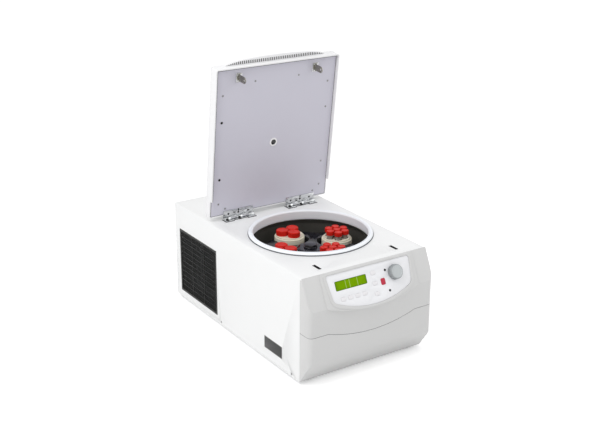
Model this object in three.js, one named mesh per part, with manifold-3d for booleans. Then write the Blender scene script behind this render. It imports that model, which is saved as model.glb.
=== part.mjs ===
// Refrigerated bench centrifuge with an open lid and a four-bucket swing-out rotor.
// Millimetres, +Z up, front towards -Y, X to the right seen from the front.
// The origin lies on the bench, below the middle of the housing.
import * as THREE from "three";
import { mergeVertices } from "three/addons/utils/BufferGeometryUtils.js";
import Module from "manifold-3d";

const wasm = await Module();
wasm.setup();

// Fits
const clearance = 0.3;
const overrun = 2;
const weldDistance = 0.0001;

// Heights above the bench
const deckHeight = 302.5;
const wallBottom = 8;

// Buckets hung on their trunnions, heights counted from the pivot
const bucketRim = 43;
const bucketRimTop = 13;
const bucketCollarWall = 6;
const bucketCollarBottom = 14;
const bucketStep = 7.5;
const bucketWall = 2.5;
const bucketBottom = 71;
const bucketTaper = 16;
const bucketTaperHeight = 20;
const bucketSideCount = 16;

// Swing-out rotor, heights counted from the pivot
const rotorTurn = THREE.MathUtils.degToRad(5);
const bucketCount = 4;
const pivotDepth = 54.5;
const rotorAbovePivot = 12;
const rotorBelowPivot = 11;
const rotorBeyondPivot = 33;
const rotorEdge = 3;
const hubBelowPivot = 42;
const hubRadius = 35;
const hubStep = 3;
const hubToSlot = 3.5;
const slotPlay = 1.5;
const scallopPlay = 14;
const pinRadius = 4.5;
const pinReach = 5.5;
const hornScallop = 46;
const hornScallopBeyond = 38;
const nutRadius = 19;
const nutHeight = 10;
const nutRecess = 3;
const nutFlatCount = 6;

// Tube racks
const rackFlange = 3.4;
const rackStep = 4;
const rackStepIn = 4;
const rackFloorGap = 5.5;
const leftRackTurn = THREE.MathUtils.degToRad(67.5);
const largeCap = 35;
const largeCapHeight = 15;
const largeCapSink = 0.6;
const largeCapGap = 0.7;
const smallCap = 22;
const smallCapHeight = 12;
const smallCapLift = 11;
const smallCapPitch = 24.2;
const smallTube = 16;
const capEdge = 1.2;
const largeCapSideCount = 12;
const smallCapSideCount = 8;

// Bowl, seal, cooling coil and foam jacket
const bowlPlay = 9.5;
const bowlUnderBucket = 27;
const bowlSheet = 1.5;
const bowlFillet = 14;
const shoulderDepth = 36.5;
const neckDepth = 21.5;
const neckStep = 10;
const sealSeatStep = 2;
const sealLip = 6;
const sealBulge = 6;
const sealHeight = 8.5;
const sealEdge = 3;
const ringSideCount = 36;
const coilTube = 7;
const coilAboveFloor = 12;
const coilBelowShoulder = 8;
const coilTurnCount = 3;
const coilStepCount = 18;
const coilSideCount = 5;
const jacketGap = 3.2;
const jacketFloor = 12;
const jacketTopGap = 3;
const jacketSideCount = 20;

// Housing of folded steel sheet round the bowl
const sheet = 1.5;
const shellCorner = 5;
const rearFlange = 12;
const spaceBeside = 24;
const spaceBehind = 254;
const slotFromBowl = 21;
const slotLength = 32;
const slotWidth = 5.6;
const slotToSeam = 19;
const seamToDeckEdge = 7;

// Nose: sloped shoulders, console with its chin, lower apron
const mouldedWall = 3;
const slopeAngle = THREE.MathUtils.degToRad(25);
const slopeLength = 91;
const noseCorner = 14;
const consoleBeside = 13.5;
const consoleBelow = 8.5;
const consoleSideBelow = 12;
const consoleCorner = 5;
const consoleProud = 4;
const consoleRoot = 14;
const seamDepth = 152.5;
const smileInset = 6.5;
const smileDip = 23;
const seamGap = 1.2;
const apronBend = 73;
const apronBendRadius = 34;

// Control panel on the console, depths counted down the slope
const panelHalfWidth = 134;
const panelTaper = 9;
const panelTop = 9;
const panelSide = 80;
const panelDepth = 109;
const panelTopCorner = 7;
const panelLowCorner = 18;
const panelThickness = 2;
const rimWidth = 8;
const rimProud = 1.6;
const displayLeft = -110.5;
const displayWidth = 98.5;
const displayTop = 28.5;
const displayHeight = 24.5;
const keyWidth = 15;
const keyHeight = 10;
const keyCorner = 2;
const keyProud = 0.7;
const keyTravel = 0.4;
const keyRowLeft = -94.8;
const keyRowPitch = 22.7;
const keyRowDepth = 76.6;
const displayToKeys = 15.8;
const keyColumnTop = 31.3;
const keyColumnPitch = 27.4;
const keysToStop = 25.6;
const stopDepth = 59.5;
const stopWidth = 13.5;
const stopHeight = 17;
const stopToKnob = 40.6;
const knobDepth = 43;
const knobRadius = 20.5;
const knobHeight = 14;
const knobLift = 0.6;
const knobGrooveCount = 18;
const knobGrooveRadius = 0.9;
const knobEdge = 1.6;
const knobDish = 0.8;
const knobShaftRadius = 3;

// Board behind the panel
const boardThickness = 1.6;
const boardHalfWidth = 120;
const boardTop = 12;
const boardBottom = 92;
const boardBehind = 8;
const encoderHalf = 7;
const standoffRadius = 3;
const chipHeight = 4;

// Left grille and rear panel
const grilleFromBowl = 6;
const grilleFromRear = 26;
const grilleBottom = 28.6;
const grilleFrame = 7;
const grilleLip = 6;
const grilleBar = 2.4;
const grilleColumnCount = 3;
const grilleRowCount = 12;
const louvreWidth = 120;
const louvreHeight = 4;
const louvrePitch = 12;
const louvreCount = 12;
const louvreFromSide = 110;
const louvreUnderDeck = 50.5;

// Base pan and feet
const panSheet = 2;
const panWall = 12;
const panBehindSeam = 2;
const footRadius = 18;
const footTaper = 2;
const footInset = 36;
const footBehindSeam = 27;
const footFromRear = 31;

// Motor below the bowl
const motorRadius = 58;
const motorAbovePan = 6;
const motorBelowBowl = 20;
const motorBossRadius = 20;
const motorFlange = 7;
const motorEarRadius = 15;
const motorFinCount = 6;
const motorFinDepth = 4;
const motorFinWidth = 5;
const mountCount = 3;
const mountRadius = 13;
const mountWaist = 10;
const mountHeight = 34;
const mountOutside = 16;
const shaftRadius = 8;
const shaftChamfer = 1.5;
const shaftSeat = 16;
const shaftHole = 15;

// Hinges
const hingeInner = 57;
const hingeOuter = 155;
const hingeFromBowl = 34.5;
const knuckleRadius = 4.2;
const knuckleCount = 5;
const hingePinRadius = 2.2;
const leafThickness = 2;
const leafNear = 0.6;
const leafFar = 23;
const leafScrew = 2.2;
const leafScrewCount = 3;
const hingeFootFront = 13;
const hingePlateFront = 8;
const hingeFootRear = 9;

// Lid, closed sizes counted from the hinge axis
const lidOpenAngle = THREE.MathUtils.degToRad(83);
const lidRear = 8;
const lidBeforeBowl = 64.5;
const lidCorner = 5;
const skirtOverDeck = 2.5;
const skirtCutBack = 61.7;
const plateOverSeal = 4;
const ledgeWidth = 10;
const ledgeThickness = 2.5;
const frameHeight = 18;
const coverEdge = 4;
const coverRise = 28;
const coverBow = 12;
const gripRibCount = 27;
const gripPitch = 12;
const gripGroove = 6;
const gripDepth = 2.2;
const gripShare = 0.62;
const sightRadius = 6.5;
const sightFlange = 10;
const sightLip = 1.5;

// Lid latch
const latchX = 124.5;
const hookThickness = 3;
const hookPlay = 0.5;
const hookWide = 18;
const hookReach = 18;
const hookEye = 3.5;
const hookFoot = 24;
const hookFootWide = 14;
const hookFootThickness = 2;
const latchHalfWidth = 14;
const latchHeight = 40;
const latchMargin = 6;
const latchWall = 3;
const latchRod = 3;

// Cooling circuit in the rear bay
const condenserFromWall = 10.2;
const condenserThick = 34;
const condenserFromGrille = 12;
const condenserToGrilleRear = 6;
const condenserUnderGrilleTop = 2.7;
const condenserFinCount = 7;
const finThickness = 1.2;
const condenserTube = 9;
const condenserTubeCount = 2;
const endPlate = 2;
const cowlThickness = 2.5;
const cowlGap = 6;
const cowlEdge = 22.85;
const fanRadius = 82;
const fanTip = 3;
const fanBladeCount = 5;
const fanHub = 20;
const fanDepth = 18;
const fanPitch = THREE.MathUtils.degToRad(28);
const bladeThickness = 2.2;
const bladeRootWidth = 26;
const bladeTipWidth = 46;
const fanMotorRadius = 27;
const fanMotorLength = 34;
const fanShaftRadius = 4;
const fanStrut = 7;
const compressorRadius = 64;
const compressorHeight = 178;
const compressorFoot = 78;
const compressorFromWall = 28.2;
const compressorFromRear = 36;
const compressorPlate = 4;
const compressorFootLift = 10;
const compressorStud = 12;
const compressorStudRadius = 8;
const compressorShoulderShare = 0.86;
const compressorCrownShare = 0.5;
const pipeRadius = 4;
const pipeLength = 26;

// Mains inlet with its rocker switch
const inletFromSide = 80;
const inletHeight = 66;
const inletWidth = 92;
const inletTall = 46;
const inletFlange = 2.5;
const inletDepth = 26;
const inletMargin = 5;
const socketWidth = 28;
const socketTall = 22;
const socketDepth = 18;
const socketOffset = -20;
const contactWidth = 2;
const contactTall = 5;
const contactPitch = 7;
const rockerOffset = 24;
const rockerWidth = 20;
const rockerTall = 28;
const rockerDepth = 9;
const rockerWell = 12;
const rockerTilt = THREE.MathUtils.degToRad(8);
const rockerPeak = 3;

// Rotor and bowl, from the buckets outwards
const bucketBody = bucketRim - bucketStep;
const bucketCollarBore = bucketRim - bucketCollarWall;
const bucketFoot = bucketBody - bucketTaper;
const bucketTaperTop = bucketBottom - bucketTaperHeight;
const rackBodyBottom = bucketBottom - bucketWall - rackFloorGap;
const slotHalfWidth = bucketRim + slotPlay;
const slotScallop = bucketRim + scallopPlay;
const pivotRadius = hubRadius + hubToSlot + slotScallop;
const pivotHeight = deckHeight - pivotDepth;
const rotorRadius = pivotRadius + rotorBeyondPivot;
const rotorTop = pivotHeight + rotorAbovePivot;
const rotorRimTop = rotorTop - hubStep;
const rotorRimBottom = pivotHeight - rotorBelowPivot;
const hubBottom = pivotHeight - hubBelowPivot;
const hornScallopOut = rotorRadius + hornScallopBeyond;
const bowlRadius = pivotRadius + bucketBottom + bowlPlay;
const bowlFloor = pivotHeight - bucketBottom - bowlUnderBucket;
const bowlShoulder = deckHeight - shoulderDepth;
const bowlNeck = deckHeight - neckDepth;
const bowlNeckRadius = bowlRadius - neckStep;
const sealSeat = bowlNeckRadius + sealSeatStep;
const sealOuter = sealSeat + sealLip;
const sealInner = bowlNeckRadius - sealBulge;
const sealTop = deckHeight + sealHeight;

// Housing round the bowl, distances counted from the bowl's centre
const halfWidth = bowlRadius + spaceBeside;
const innerHalf = halfWidth - sheet - clearance;
const panFloor = wallBottom + panSheet;
const bowlToRear = bowlRadius + spaceBehind;
const slotNear = bowlRadius + slotFromBowl;
const slotFar = slotNear + slotLength;
const bowlToSeam = slotFar + slotToSeam;
const bowlToDeckEdge = bowlToSeam + seamToDeckEdge;
const grilleFront = bowlRadius + grilleFromBowl;
const grilleRear = bowlToRear - grilleFromRear;
const condenserLow = panFloor + clearance;
const condenserTop = condenserLow + 2 * (fanRadius + fanTip + cowlEdge);
const grilleTop = condenserTop + condenserUnderGrilleTop;
const hingeBehindBowl = bowlRadius + hingeFromBowl;
const jacketOuter = innerHalf - jacketGap;

// Nose and panel
const consoleHalfWidth = panelHalfWidth + consoleBeside;
const consoleSide = panelSide + consoleSideBelow;
const consoleDepth = panelDepth + consoleBelow;
const smileHalfWidth = consoleHalfWidth - smileInset;
const keyColumn = displayLeft + displayWidth + displayToKeys + keyWidth / 2;
const stopColumn = keyColumn + keysToStop;
const knobX = stopColumn + stopToKnob;
const seamHeight = deckHeight - seamDepth;
const slopeRun = Math.sin(slopeAngle);
const slopeFall = Math.cos(slopeAngle);
const noseReach = bowlToDeckEdge + slopeLength * slopeRun;
const chinReach = bowlToDeckEdge + consoleDepth * slopeRun + consoleProud * slopeFall;

// Places in the part's frame
const bowlY = (chinReach - bowlToRear) / 2;
const rearY = bowlY + bowlToRear;
const seamY = bowlY - bowlToSeam;
const deckEdgeY = bowlY - bowlToDeckEdge;
const noseY = bowlY - noseReach;

// Hinge and lid
const hingeRise = knuckleRadius + clearance;
const hingeHeight = deckHeight + hingeRise;
const hingeY = bowlY + hingeBehindBowl;
const lidLength = hingeBehindBowl + bowlRadius + lidBeforeBowl;
const plateLift = sealHeight - hingeRise + plateOverSeal;
const frameTop = plateLift + frameHeight;
const skirtDrop = hingeRise - skirtOverDeck;
const hookNear = hingeBehindBowl + slotNear + hookPlay;

// A welded closed mesh as a solid for cutting and joining.
function solidOf(geometry) {
  const bare = geometry.index ? geometry.toNonIndexed() : geometry.clone();
  bare.deleteAttribute("normal");
  bare.deleteAttribute("uv");
  const welded = mergeVertices(bare, weldDistance);
  const corners = welded.index.array;
  const kept = [];
  for (let i = 0; i < corners.length; i += 3) {
    const [a, b, c] = [corners[i], corners[i + 1], corners[i + 2]];
    if (a !== b && b !== c && c !== a) {
      kept.push(a, b, c);
    }
  }
  const vertProperties = new Float32Array(welded.attributes.position.array);
  const triVerts = new Uint32Array(kept);
  return new wasm.Manifold(new wasm.Mesh({ numProp: 3, vertProperties, triVerts }));
}

// The geometry of a finished solid.
function geometryOf(solid) {
  const { vertProperties, triVerts } = solid.getMesh();
  const geometry = new THREE.BufferGeometry();
  geometry.setAttribute("position", new THREE.BufferAttribute(vertProperties, 3));
  geometry.setIndex(new THREE.BufferAttribute(triVerts, 1));
  geometry.computeVertexNormals();
  return geometry;
}

// One named piece in its group.
function addPiece(parent, name, solid, color, roughness, metalness) {
  const material = new THREE.MeshStandardMaterial({ color, roughness, metalness });
  const mesh = new THREE.Mesh(geometryOf(solid), material);
  mesh.name = name;
  parent.add(mesh);
  return mesh;
}

// All solids of a list as one.
function joined(solids) {
  return solids.reduce((sum, next) => sum.add(next));
}

// A solid turned about Z, or moved in the plan.
function turned(solid, angle) {
  return solidOf(geometryOf(solid).rotateZ(angle));
}

function moved(solid, x, y) {
  return solidOf(geometryOf(solid).translate(x, y, 0));
}

// A box between two corners.
function block(x0, x1, y0, y1, z0, z1) {
  const box = new THREE.BoxGeometry(x1 - x0, y1 - y0, z1 - z0);
  box.translate((x0 + x1) / 2, (y0 + y1) / 2, (z0 + z1) / 2);
  return solidOf(box);
}

// Corners of a regular polygon about the origin.
function polygon(radius, sides) {
  return [...Array(sides).keys()].map((k) => {
    const turn = 2 * Math.PI * k / sides;
    return [radius * Math.cos(turn), radius * Math.sin(turn)];
  });
}

// A closed outline from corners [x, y, fillet radius], with the fillets as short chords.
function outline(corners, steps = 4) {
  const points = [];
  corners.forEach(([x, y, radius = 0], i) => {
    const here = new THREE.Vector2(x, y);
    const [lastX, lastY] = corners[(i + corners.length - 1) % corners.length];
    const [nextX, nextY] = corners[(i + 1) % corners.length];
    if (radius <= 0) {
      points.push(here);
      return;
    }
    const back = new THREE.Vector2(lastX, lastY).sub(here).normalize();
    const ahead = new THREE.Vector2(nextX, nextY).sub(here).normalize();
    const half = Math.acos(THREE.MathUtils.clamp(back.dot(ahead), -1, 1)) / 2;
    const start = back.clone().multiplyScalar(radius / Math.tan(half));
    const centre = back.clone().add(ahead).normalize().multiplyScalar(radius / Math.sin(half));
    const from = start.clone().sub(centre);
    const sweep = (Math.PI - 2 * half) * Math.sign(back.cross(ahead));
    for (let k = 0; k <= steps; k += 1) {
      const turned = from.clone().rotateAround(new THREE.Vector2(), -sweep * k / steps);
      points.push(turned.add(centre).add(here));
    }
  });
  return points;
}

// Points of an arc that sags by `dip` between x = -half and x = half, left to right.
function sagArc(half, dip, level, steps) {
  const radius = (half * half + dip * dip) / (2 * dip);
  const points = [];
  for (let k = 0; k <= steps; k += 1) {
    const x = half * (2 * k / steps - 1);
    const drop = Math.sqrt(radius * radius - x * x) - radius + dip;
    points.push([x, level - drop]);
  }
  return points;
}

// Outlines pulled straight: along X from (y, z), along Y from (x, z), along Z from (x, y).
function pull(points, from, to, axis) {
  const shape = new THREE.Shape(points.map((p) => (p.isVector2 ? p : new THREE.Vector2(p[0], p[1]))));
  const geometry = new THREE.ExtrudeGeometry(shape, { depth: to - from, bevelEnabled: false });
  geometry.translate(0, 0, axis === "y" ? -to : from);
  const turn = new THREE.Matrix4();
  const [x, y, z] = [new THREE.Vector3(1, 0, 0), new THREE.Vector3(0, 1, 0), new THREE.Vector3(0, 0, 1)];
  if (axis === "x") {
    turn.makeBasis(y, z, x);
  }
  if (axis === "y") {
    turn.makeBasis(x, z, y.clone().negate());
  }
  geometry.applyMatrix4(turn);
  return solidOf(geometry);
}

// A body of revolution about Z from a profile of [radius, height], run either way round.
function revolve(profile, sides = ringSideCount) {
  const closed = profile[0][0] > 0 || profile[profile.length - 1][0] > 0;
  const points = closed ? [...profile, profile[0]] : profile;
  const area = points.reduce((sum, [r, h], i) => {
    const [nextR, nextH] = points[(i + 1) % points.length];
    return sum + r * nextH - nextR * h;
  }, 0);
  const ordered = area > 0 ? points : [...points].reverse();
  const geometry = new THREE.LatheGeometry(ordered.map(([r, h]) => new THREE.Vector2(r, h)), sides);
  geometry.rotateX(Math.PI / 2);
  return solidOf(geometry);
}

// A round bar along X, Y or Z between two stations, about the other two places.
function bar(radius, from, to, axis = "z", a = 0, b = 0, sides = 12) {
  const geometry = new THREE.CylinderGeometry(radius, radius, to - from, sides);
  if (axis === "z") {
    geometry.rotateX(Math.PI / 2);
    geometry.translate(a, b, (from + to) / 2);
  }
  if (axis === "x") {
    geometry.rotateZ(-Math.PI / 2);
    geometry.translate((from + to) / 2, a, b);
  }
  if (axis === "y") {
    geometry.translate(a, (from + to) / 2, b);
  }
  return solidOf(geometry);
}

// A rounded rectangle as an outline.
function roundedRect(x0, x1, y0, y1, radius, steps = 2) {
  return outline([[x0, y0, radius], [x1, y0, radius], [x1, y1, radius], [x0, y1, radius]], steps);
}

const centrifuge = new THREE.Group();
centrifuge.name = "centrifuge";

// Folded steel shell: two walls and the deck, with the bowl opening, the latch slots
// and the grille opening.
function cabinetShell() {
  const inner = halfWidth - sheet;
  const profile = outline([
    [-halfWidth, wallBottom], [-inner, wallBottom],
    [-inner, deckHeight - sheet, shellCorner - sheet], [inner, deckHeight - sheet, shellCorner - sheet],
    [inner, wallBottom], [halfWidth, wallBottom],
    [halfWidth, deckHeight, shellCorner], [-halfWidth, deckHeight, shellCorner],
  ]);
  const strip = deckHeight - shellCorner;
  const openings = [
    block(-halfWidth - overrun, halfWidth + overrun, deckEdgeY - overrun, seamY, wallBottom - overrun, strip),
    bar(
      sealSeat + clearance, deckHeight - sheet - overrun, deckHeight + overrun, "z", 0, bowlY, ringSideCount),
    block(
      -halfWidth - overrun, -inner + overrun, bowlY + grilleFront, bowlY + grilleRear,
      grilleBottom, grilleTop),
  ];
  for (const side of [-1, 1]) {
    const x = side * latchX;
    const slot = roundedRect(
      x - slotWidth / 2, x + slotWidth / 2, bowlY - slotFar, bowlY - slotNear, slotWidth / 3);
    openings.push(pull(slot, deckHeight - sheet - overrun, deckHeight + overrun, "z"));
  }
  return pull(profile, deckEdgeY, rearY, "y").subtract(joined(openings));
}

// Inside and outside of the nose share these two outlines: the side view and the plan.
function noseSide(inset, low) {
  const slopeStep = inset / slopeFall;
  const kneeStep = inset * Math.tan(slopeAngle / 2);
  const top = deckHeight - shellCorner - clearance - inset;
  const back = seamY - clearance + (inset > 0 ? overrun : 0);
  const kneeHeight = deckHeight - slopeLength * slopeFall;
  const slopeTop = inset > 0 ? top : deckHeight;
  const slopeTopY = deckEdgeY - clearance + slopeStep - (deckHeight - slopeTop) * Math.tan(slopeAngle);
  const shelf = inset > 0 ? [] : [[deckEdgeY - clearance, top]];
  return [
    [back, low], [noseY - clearance + inset, low], [noseY - clearance + inset, kneeHeight + kneeStep],
    [slopeTopY, slopeTop], ...shelf, [back, top],
  ];
}

function nosePlan(inset) {
  const half = halfWidth - inset;
  const front = noseY - clearance + inset;
  const back = seamY - clearance + (inset > 0 ? overrun : 0);
  return outline([
    [-half, back], [-half, front, noseCorner - inset], [half, front, noseCorner - inset], [half, back],
  ]);
}

// The seam between fascia and apron: level at the sides, sagging under the console.
function smile(level) {
  const sag = sagArc(smileHalfWidth, smileDip, level, 14);
  return [[-halfWidth - overrun, level], ...sag, [halfWidth + overrun, level]];
}

// The panel's frame of reference: x across, y up the slope, z out of the slope.
function slopeFrame() {
  const group = new THREE.Group();
  group.position.set(0, deckEdgeY - clearance, deckHeight);
  group.rotation.x = Math.PI / 2 - slopeAngle;
  group.updateMatrix();
  return group;
}

// A solid of the panel's frame, brought into the housing's frame.
function onSlope(solid) {
  return solidOf(geometryOf(solid).applyMatrix4(slopeFrame().matrix));
}

// The control panel's outline, a straight top over a half-moon, grown by `grow`.
function panelOutline(grow) {
  const low = panelHalfWidth - panelTaper + grow;
  const wide = panelHalfWidth + grow;
  const dip = panelDepth - panelSide;
  const moon = sagArc(low, dip, -panelSide - grow, 10).map(([x, y]) => [x, y, 0]);
  moon[0][2] = panelLowCorner + grow;
  moon[moon.length - 1][2] = panelLowCorner + grow;
  const corner = panelTopCorner + grow;
  return outline([...moon, [wide, -panelTop + grow, corner], [-wide, -panelTop + grow, corner]]);
}

const noseLow = seamHeight - smileDip;
const panelFace = consoleProud;
const recessFloor = panelFace - panelThickness - clearance;

// Upper front moulding: shoulders, console, chin and the raised rim of the control panel.
function frontFascia() {
  const dip = consoleDepth - consoleSide;
  const chin = sagArc(consoleHalfWidth, dip, -consoleSide, 14).map(([x, y]) => [x, y, 0]);
  chin[0][2] = consoleCorner;
  chin[chin.length - 1][2] = consoleCorner;
  const consoleShape = outline([...chin, [consoleHalfWidth, 0], [-consoleHalfWidth, 0]]);
  const body = pull(noseSide(0, noseLow - overrun), -halfWidth, halfWidth, "x")
    .intersect(pull(nosePlan(0), noseLow - overrun, deckHeight, "z"));
  const hollow = pull(noseSide(mouldedWall, noseLow - 2 * overrun), -halfWidth, halfWidth, "x")
    .intersect(pull(nosePlan(mouldedWall), noseLow - 2 * overrun, deckHeight, "z"));
  const belowSeam = pull(
    [...smile(seamHeight), [halfWidth + overrun, 0], [-halfWidth - overrun, 0]],
    noseY - noseCorner, seamY + 2 * overrun, "y");
  const knobHole = bar(
    knobShaftRadius + clearance, -mouldedWall - overrun, recessFloor + overrun, "z", knobX, -knobDepth);
  return body
    .add(onSlope(pull(consoleShape, -consoleRoot, consoleProud, "z")))
    .add(onSlope(pull(panelOutline(rimWidth), 0, panelFace + rimProud, "z")))
    .subtract(hollow)
    .subtract(onSlope(pull(panelOutline(clearance), recessFloor, panelFace + rimProud + overrun, "z")))
    .subtract(onSlope(knobHole))
    .subtract(belowSeam)
    .subtract(block(
      -halfWidth - overrun, halfWidth + overrun, deckEdgeY - clearance, seamY + overrun,
      deckHeight - shellCorner - clearance, deckHeight + overrun))
    .intersect(block(-halfWidth, halfWidth, -rearY, seamY - clearance, 0, deckHeight));
}

// Lower front moulding, drawn back to the base and cut to the same seam.
function frontApron() {
  const side = (inset) => {
    const back = seamY - clearance;
    const front = noseY - clearance;
    const pitch = (apronBend - wallBottom) / (back - front);
    const lift = wallBottom + inset * Math.hypot(1, pitch);
    const behind = inset > 0 ? overrun : 0;
    return outline([
      [back + behind, lift - behind * pitch], [back + behind, seamHeight], [front + inset, seamHeight],
      [front + inset, lift + (back - front - inset) * pitch, apronBendRadius - inset],
    ]);
  };
  const top = seamHeight - seamGap;
  const aboveSeam = pull(
    [...smile(top), [halfWidth + overrun, 2 * seamHeight], [-halfWidth - overrun, 2 * seamHeight]],
    noseY - noseCorner, seamY + 2 * overrun, "y");
  const body = pull(side(0), -halfWidth, halfWidth, "x").intersect(pull(nosePlan(0), 0, seamHeight, "z"));
  const hollow = pull(side(mouldedWall), -halfWidth, halfWidth, "x")
    .intersect(pull(nosePlan(mouldedWall), 0, seamHeight, "z"));
  return body.subtract(hollow).subtract(aboveSeam);
}

const white = 0xf3f4f5;
const greyPlastic = 0xd2d3d6;

addPiece(centrifuge, "cabinet_shell", cabinetShell(), white, 0.42, 0.05);
addPiece(centrifuge, "front_fascia", frontFascia(), greyPlastic, 0.45, 0);
addPiece(centrifuge, "front_apron", frontApron(), greyPlastic, 0.45, 0);

// Base pan with upturned walls and air slots under the cooling bay.
function basePan() {
  const front = seamY + panBehindSeam;
  const rear = rearY - sheet - clearance;
  const tray = block(-innerHalf, innerHalf, front, rear, wallBottom, wallBottom + panWall)
    .subtract(block(
      -innerHalf + panSheet, innerHalf - panSheet, front + panSheet, rear - panSheet,
      panFloor, wallBottom + panWall + overrun));
  const slots = [];
  for (let k = 0; k < louvreCount / 2; k += 1) {
    const y = bowlY - jacketOuter + louvrePitch * 2 * k;
    slots.push(block(
      -louvreWidth / 2, louvreWidth / 2, y, y + louvreHeight, wallBottom - overrun, panFloor + overrun));
  }
  return tray.subtract(joined(slots));
}
addPiece(centrifuge, "base_pan", basePan(), 0xb8babd, 0.5, 0.7);

const inletX = halfWidth - inletFromSide;

// Rear panel with side and top flanges, louvres and the inlet's cut-out.
function rearPanel() {
  const top = deckHeight - sheet - clearance;
  const corner = shellCorner - sheet;
  const plate = pull(
    outline([
      [-innerHalf, wallBottom], [innerHalf, wallBottom], [innerHalf, top, corner], [-innerHalf, top, corner],
    ]),
    rearY - rearFlange, rearY, "y");
  const hollow = pull(
    outline([[-innerHalf + sheet, 0], [innerHalf - sheet, 0],
      [innerHalf - sheet, top - sheet, corner - sheet], [-innerHalf + sheet, top - sheet, corner - sheet]]),
    rearY - rearFlange - overrun, rearY - sheet, "y");
  const panSpace = block(
    -innerHalf - overrun, innerHalf + overrun, rearY - rearFlange - overrun, rearY - sheet,
    0, wallBottom + panWall + clearance);
  const wide = inletWidth / 2 - inletMargin;
  const tall = inletTall / 2 - inletMargin;
  const [y0, y1] = [rearY - sheet - overrun, rearY + overrun];
  const cuts = [block(inletX - wide, inletX + wide, y0, y1, inletHeight - tall, inletHeight + tall)];
  const middle = louvreFromSide - halfWidth;
  for (let k = 0; k < louvreCount; k += 1) {
    const z = deckHeight - louvreUnderDeck - louvrePitch * k;
    cuts.push(block(middle - louvreWidth / 2, middle + louvreWidth / 2, y0, y1, z, z + louvreHeight));
  }
  return plate.subtract(hollow).subtract(panSpace).subtract(joined(cuts));
}
addPiece(centrifuge, "rear_panel", rearPanel(), white, 0.42, 0.05);

// Grille in the left wall: a bar lattice in a frame, with a lip behind the wall.
function sideGrille() {
  const y0 = bowlY + grilleFront + clearance;
  const y1 = bowlY + grilleRear - clearance;
  const z0 = grilleBottom + clearance;
  const z1 = grilleTop - clearance;
  const back = -innerHalf;
  const lipBack = back + sheet;
  const plate = block(-halfWidth, lipBack, y0, y1, z0, z1)
    .add(block(back, lipBack, y0 - grilleLip, y1 + grilleLip, z0 - grilleLip, z1 + grilleLip));
  const cellY = (y1 - y0 - 2 * grilleFrame + grilleBar) / grilleColumnCount;
  const cellZ = (z1 - z0 - 2 * grilleFrame + grilleBar) / grilleRowCount;
  const holes = [];
  for (let i = 0; i < grilleColumnCount; i += 1) {
    for (let k = 0; k < grilleRowCount; k += 1) {
      const y = y0 + grilleFrame + cellY * i;
      const z = z0 + grilleFrame + cellZ * k;
      holes.push(block(
        -halfWidth - overrun, lipBack + overrun, y, y + cellY - grilleBar, z, z + cellZ - grilleBar));
    }
  }
  return plate.subtract(wasm.Manifold.union(holes));
}
addPiece(centrifuge, "side_grille", sideGrille(), 0x2b2c2b, 0.6, 0.1);

// Rubber feet
function footSolid() {
  const top = wallBottom - clearance;
  return revolve([
    [0, 0], [footRadius - footTaper, 0], [footRadius, top / 2], [footRadius, top], [0, top],
  ], 14);
}
for (const [place, y] of [["front", seamY + footBehindSeam], ["rear", rearY - footFromRear]]) {
  for (const [side, x] of [["left", -halfWidth + footInset], ["right", halfWidth - footInset]]) {
    const foot = addPiece(centrifuge, `foot_${place}_${side}`, footSolid(), 0x26332c, 0.8, 0);
    foot.position.set(x, y, 0);
  }
}

// Mains inlet moulding: flange outside the rear panel's cut-out, socket with three contacts,
// and the well of the rocker.
function mainsInlet() {
  const half = inletWidth / 2;
  const tall = inletTall / 2;
  const face = rearY;
  const back = rearY - inletDepth;
  const fit = inletMargin + clearance;
  const body = block(
    inletX - half + fit, inletX + half - fit, back, face, inletHeight - tall + fit, inletHeight + tall - fit);
  const clip = block(
    inletX - half, inletX + half, face - sheet - clearance - inletFlange, face - sheet - clearance,
    inletHeight - tall, inletHeight + tall);
  const socketX = inletX + socketOffset;
  const [left, right] = [socketX - socketWidth / 2, socketX + socketWidth / 2];
  const [under, over] = [inletHeight - socketTall / 2, inletHeight + socketTall / 2];
  const socketShape = outline([
    [left, under], [right, under], [right, over, socketTall / 4], [left, over, socketTall / 4],
  ]);
  const contacts = [-1, 0, 1].map((k) => {
    const x = socketX + contactPitch * k;
    const z = inletHeight + (k === 0 ? contactTall / 2 : -contactTall / 2);
    return block(
      x - contactWidth / 2, x + contactWidth / 2, face - socketDepth - overrun, face - socketDepth / 4,
      z - contactTall / 2, z + contactTall / 2);
  });
  const rockerX = inletX + rockerOffset;
  const wellWide = rockerWidth / 2 + clearance;
  const wellTall = rockerTall / 2 + 2 * clearance;
  const well = block(
    rockerX - wellWide, rockerX + wellWide, face - rockerWell, face + overrun,
    inletHeight - wellTall, inletHeight + wellTall);
  return body.add(clip)
    .subtract(pull(socketShape, face - socketDepth, face + overrun, "y"))
    .add(joined(contacts))
    .subtract(well);
}
addPiece(centrifuge, "mains_inlet", mainsInlet(), 0x1d1e20, 0.5, 0);

// Rocker, tilted to its off position about an axis across the well.
function rockerSolid() {
  const half = rockerTall / 2 - clearance;
  const back = rockerDepth / 2;
  const edge = back - rockerPeak;
  return pull([
    [-back, rockerPeak - half], [0, -half], [edge, -half], [back, 0], [edge, half], [0, half],
    [-back, half - rockerPeak],
  ], -rockerWidth / 2, rockerWidth / 2, "x");
}
const rocker = addPiece(centrifuge, "power_switch", rockerSolid(), 0x151617, 0.4, 0);
rocker.position.set(inletX + rockerOffset, rearY - rockerDepth / 2 - clearance, inletHeight);
rocker.rotation.x = -rockerTilt;

// Bowl, its seal, the cooling coil and the foam jacket, all round the rotor's axis.
const chamber = new THREE.Group();
chamber.position.y = bowlY;
centrifuge.add(chamber);

function bowlBend(offset) {
  const radius = bowlRadius + offset;
  const floor = bowlFloor - offset;
  return [[radius - bowlFillet, floor], [radius, floor + bowlFillet]];
}

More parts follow.
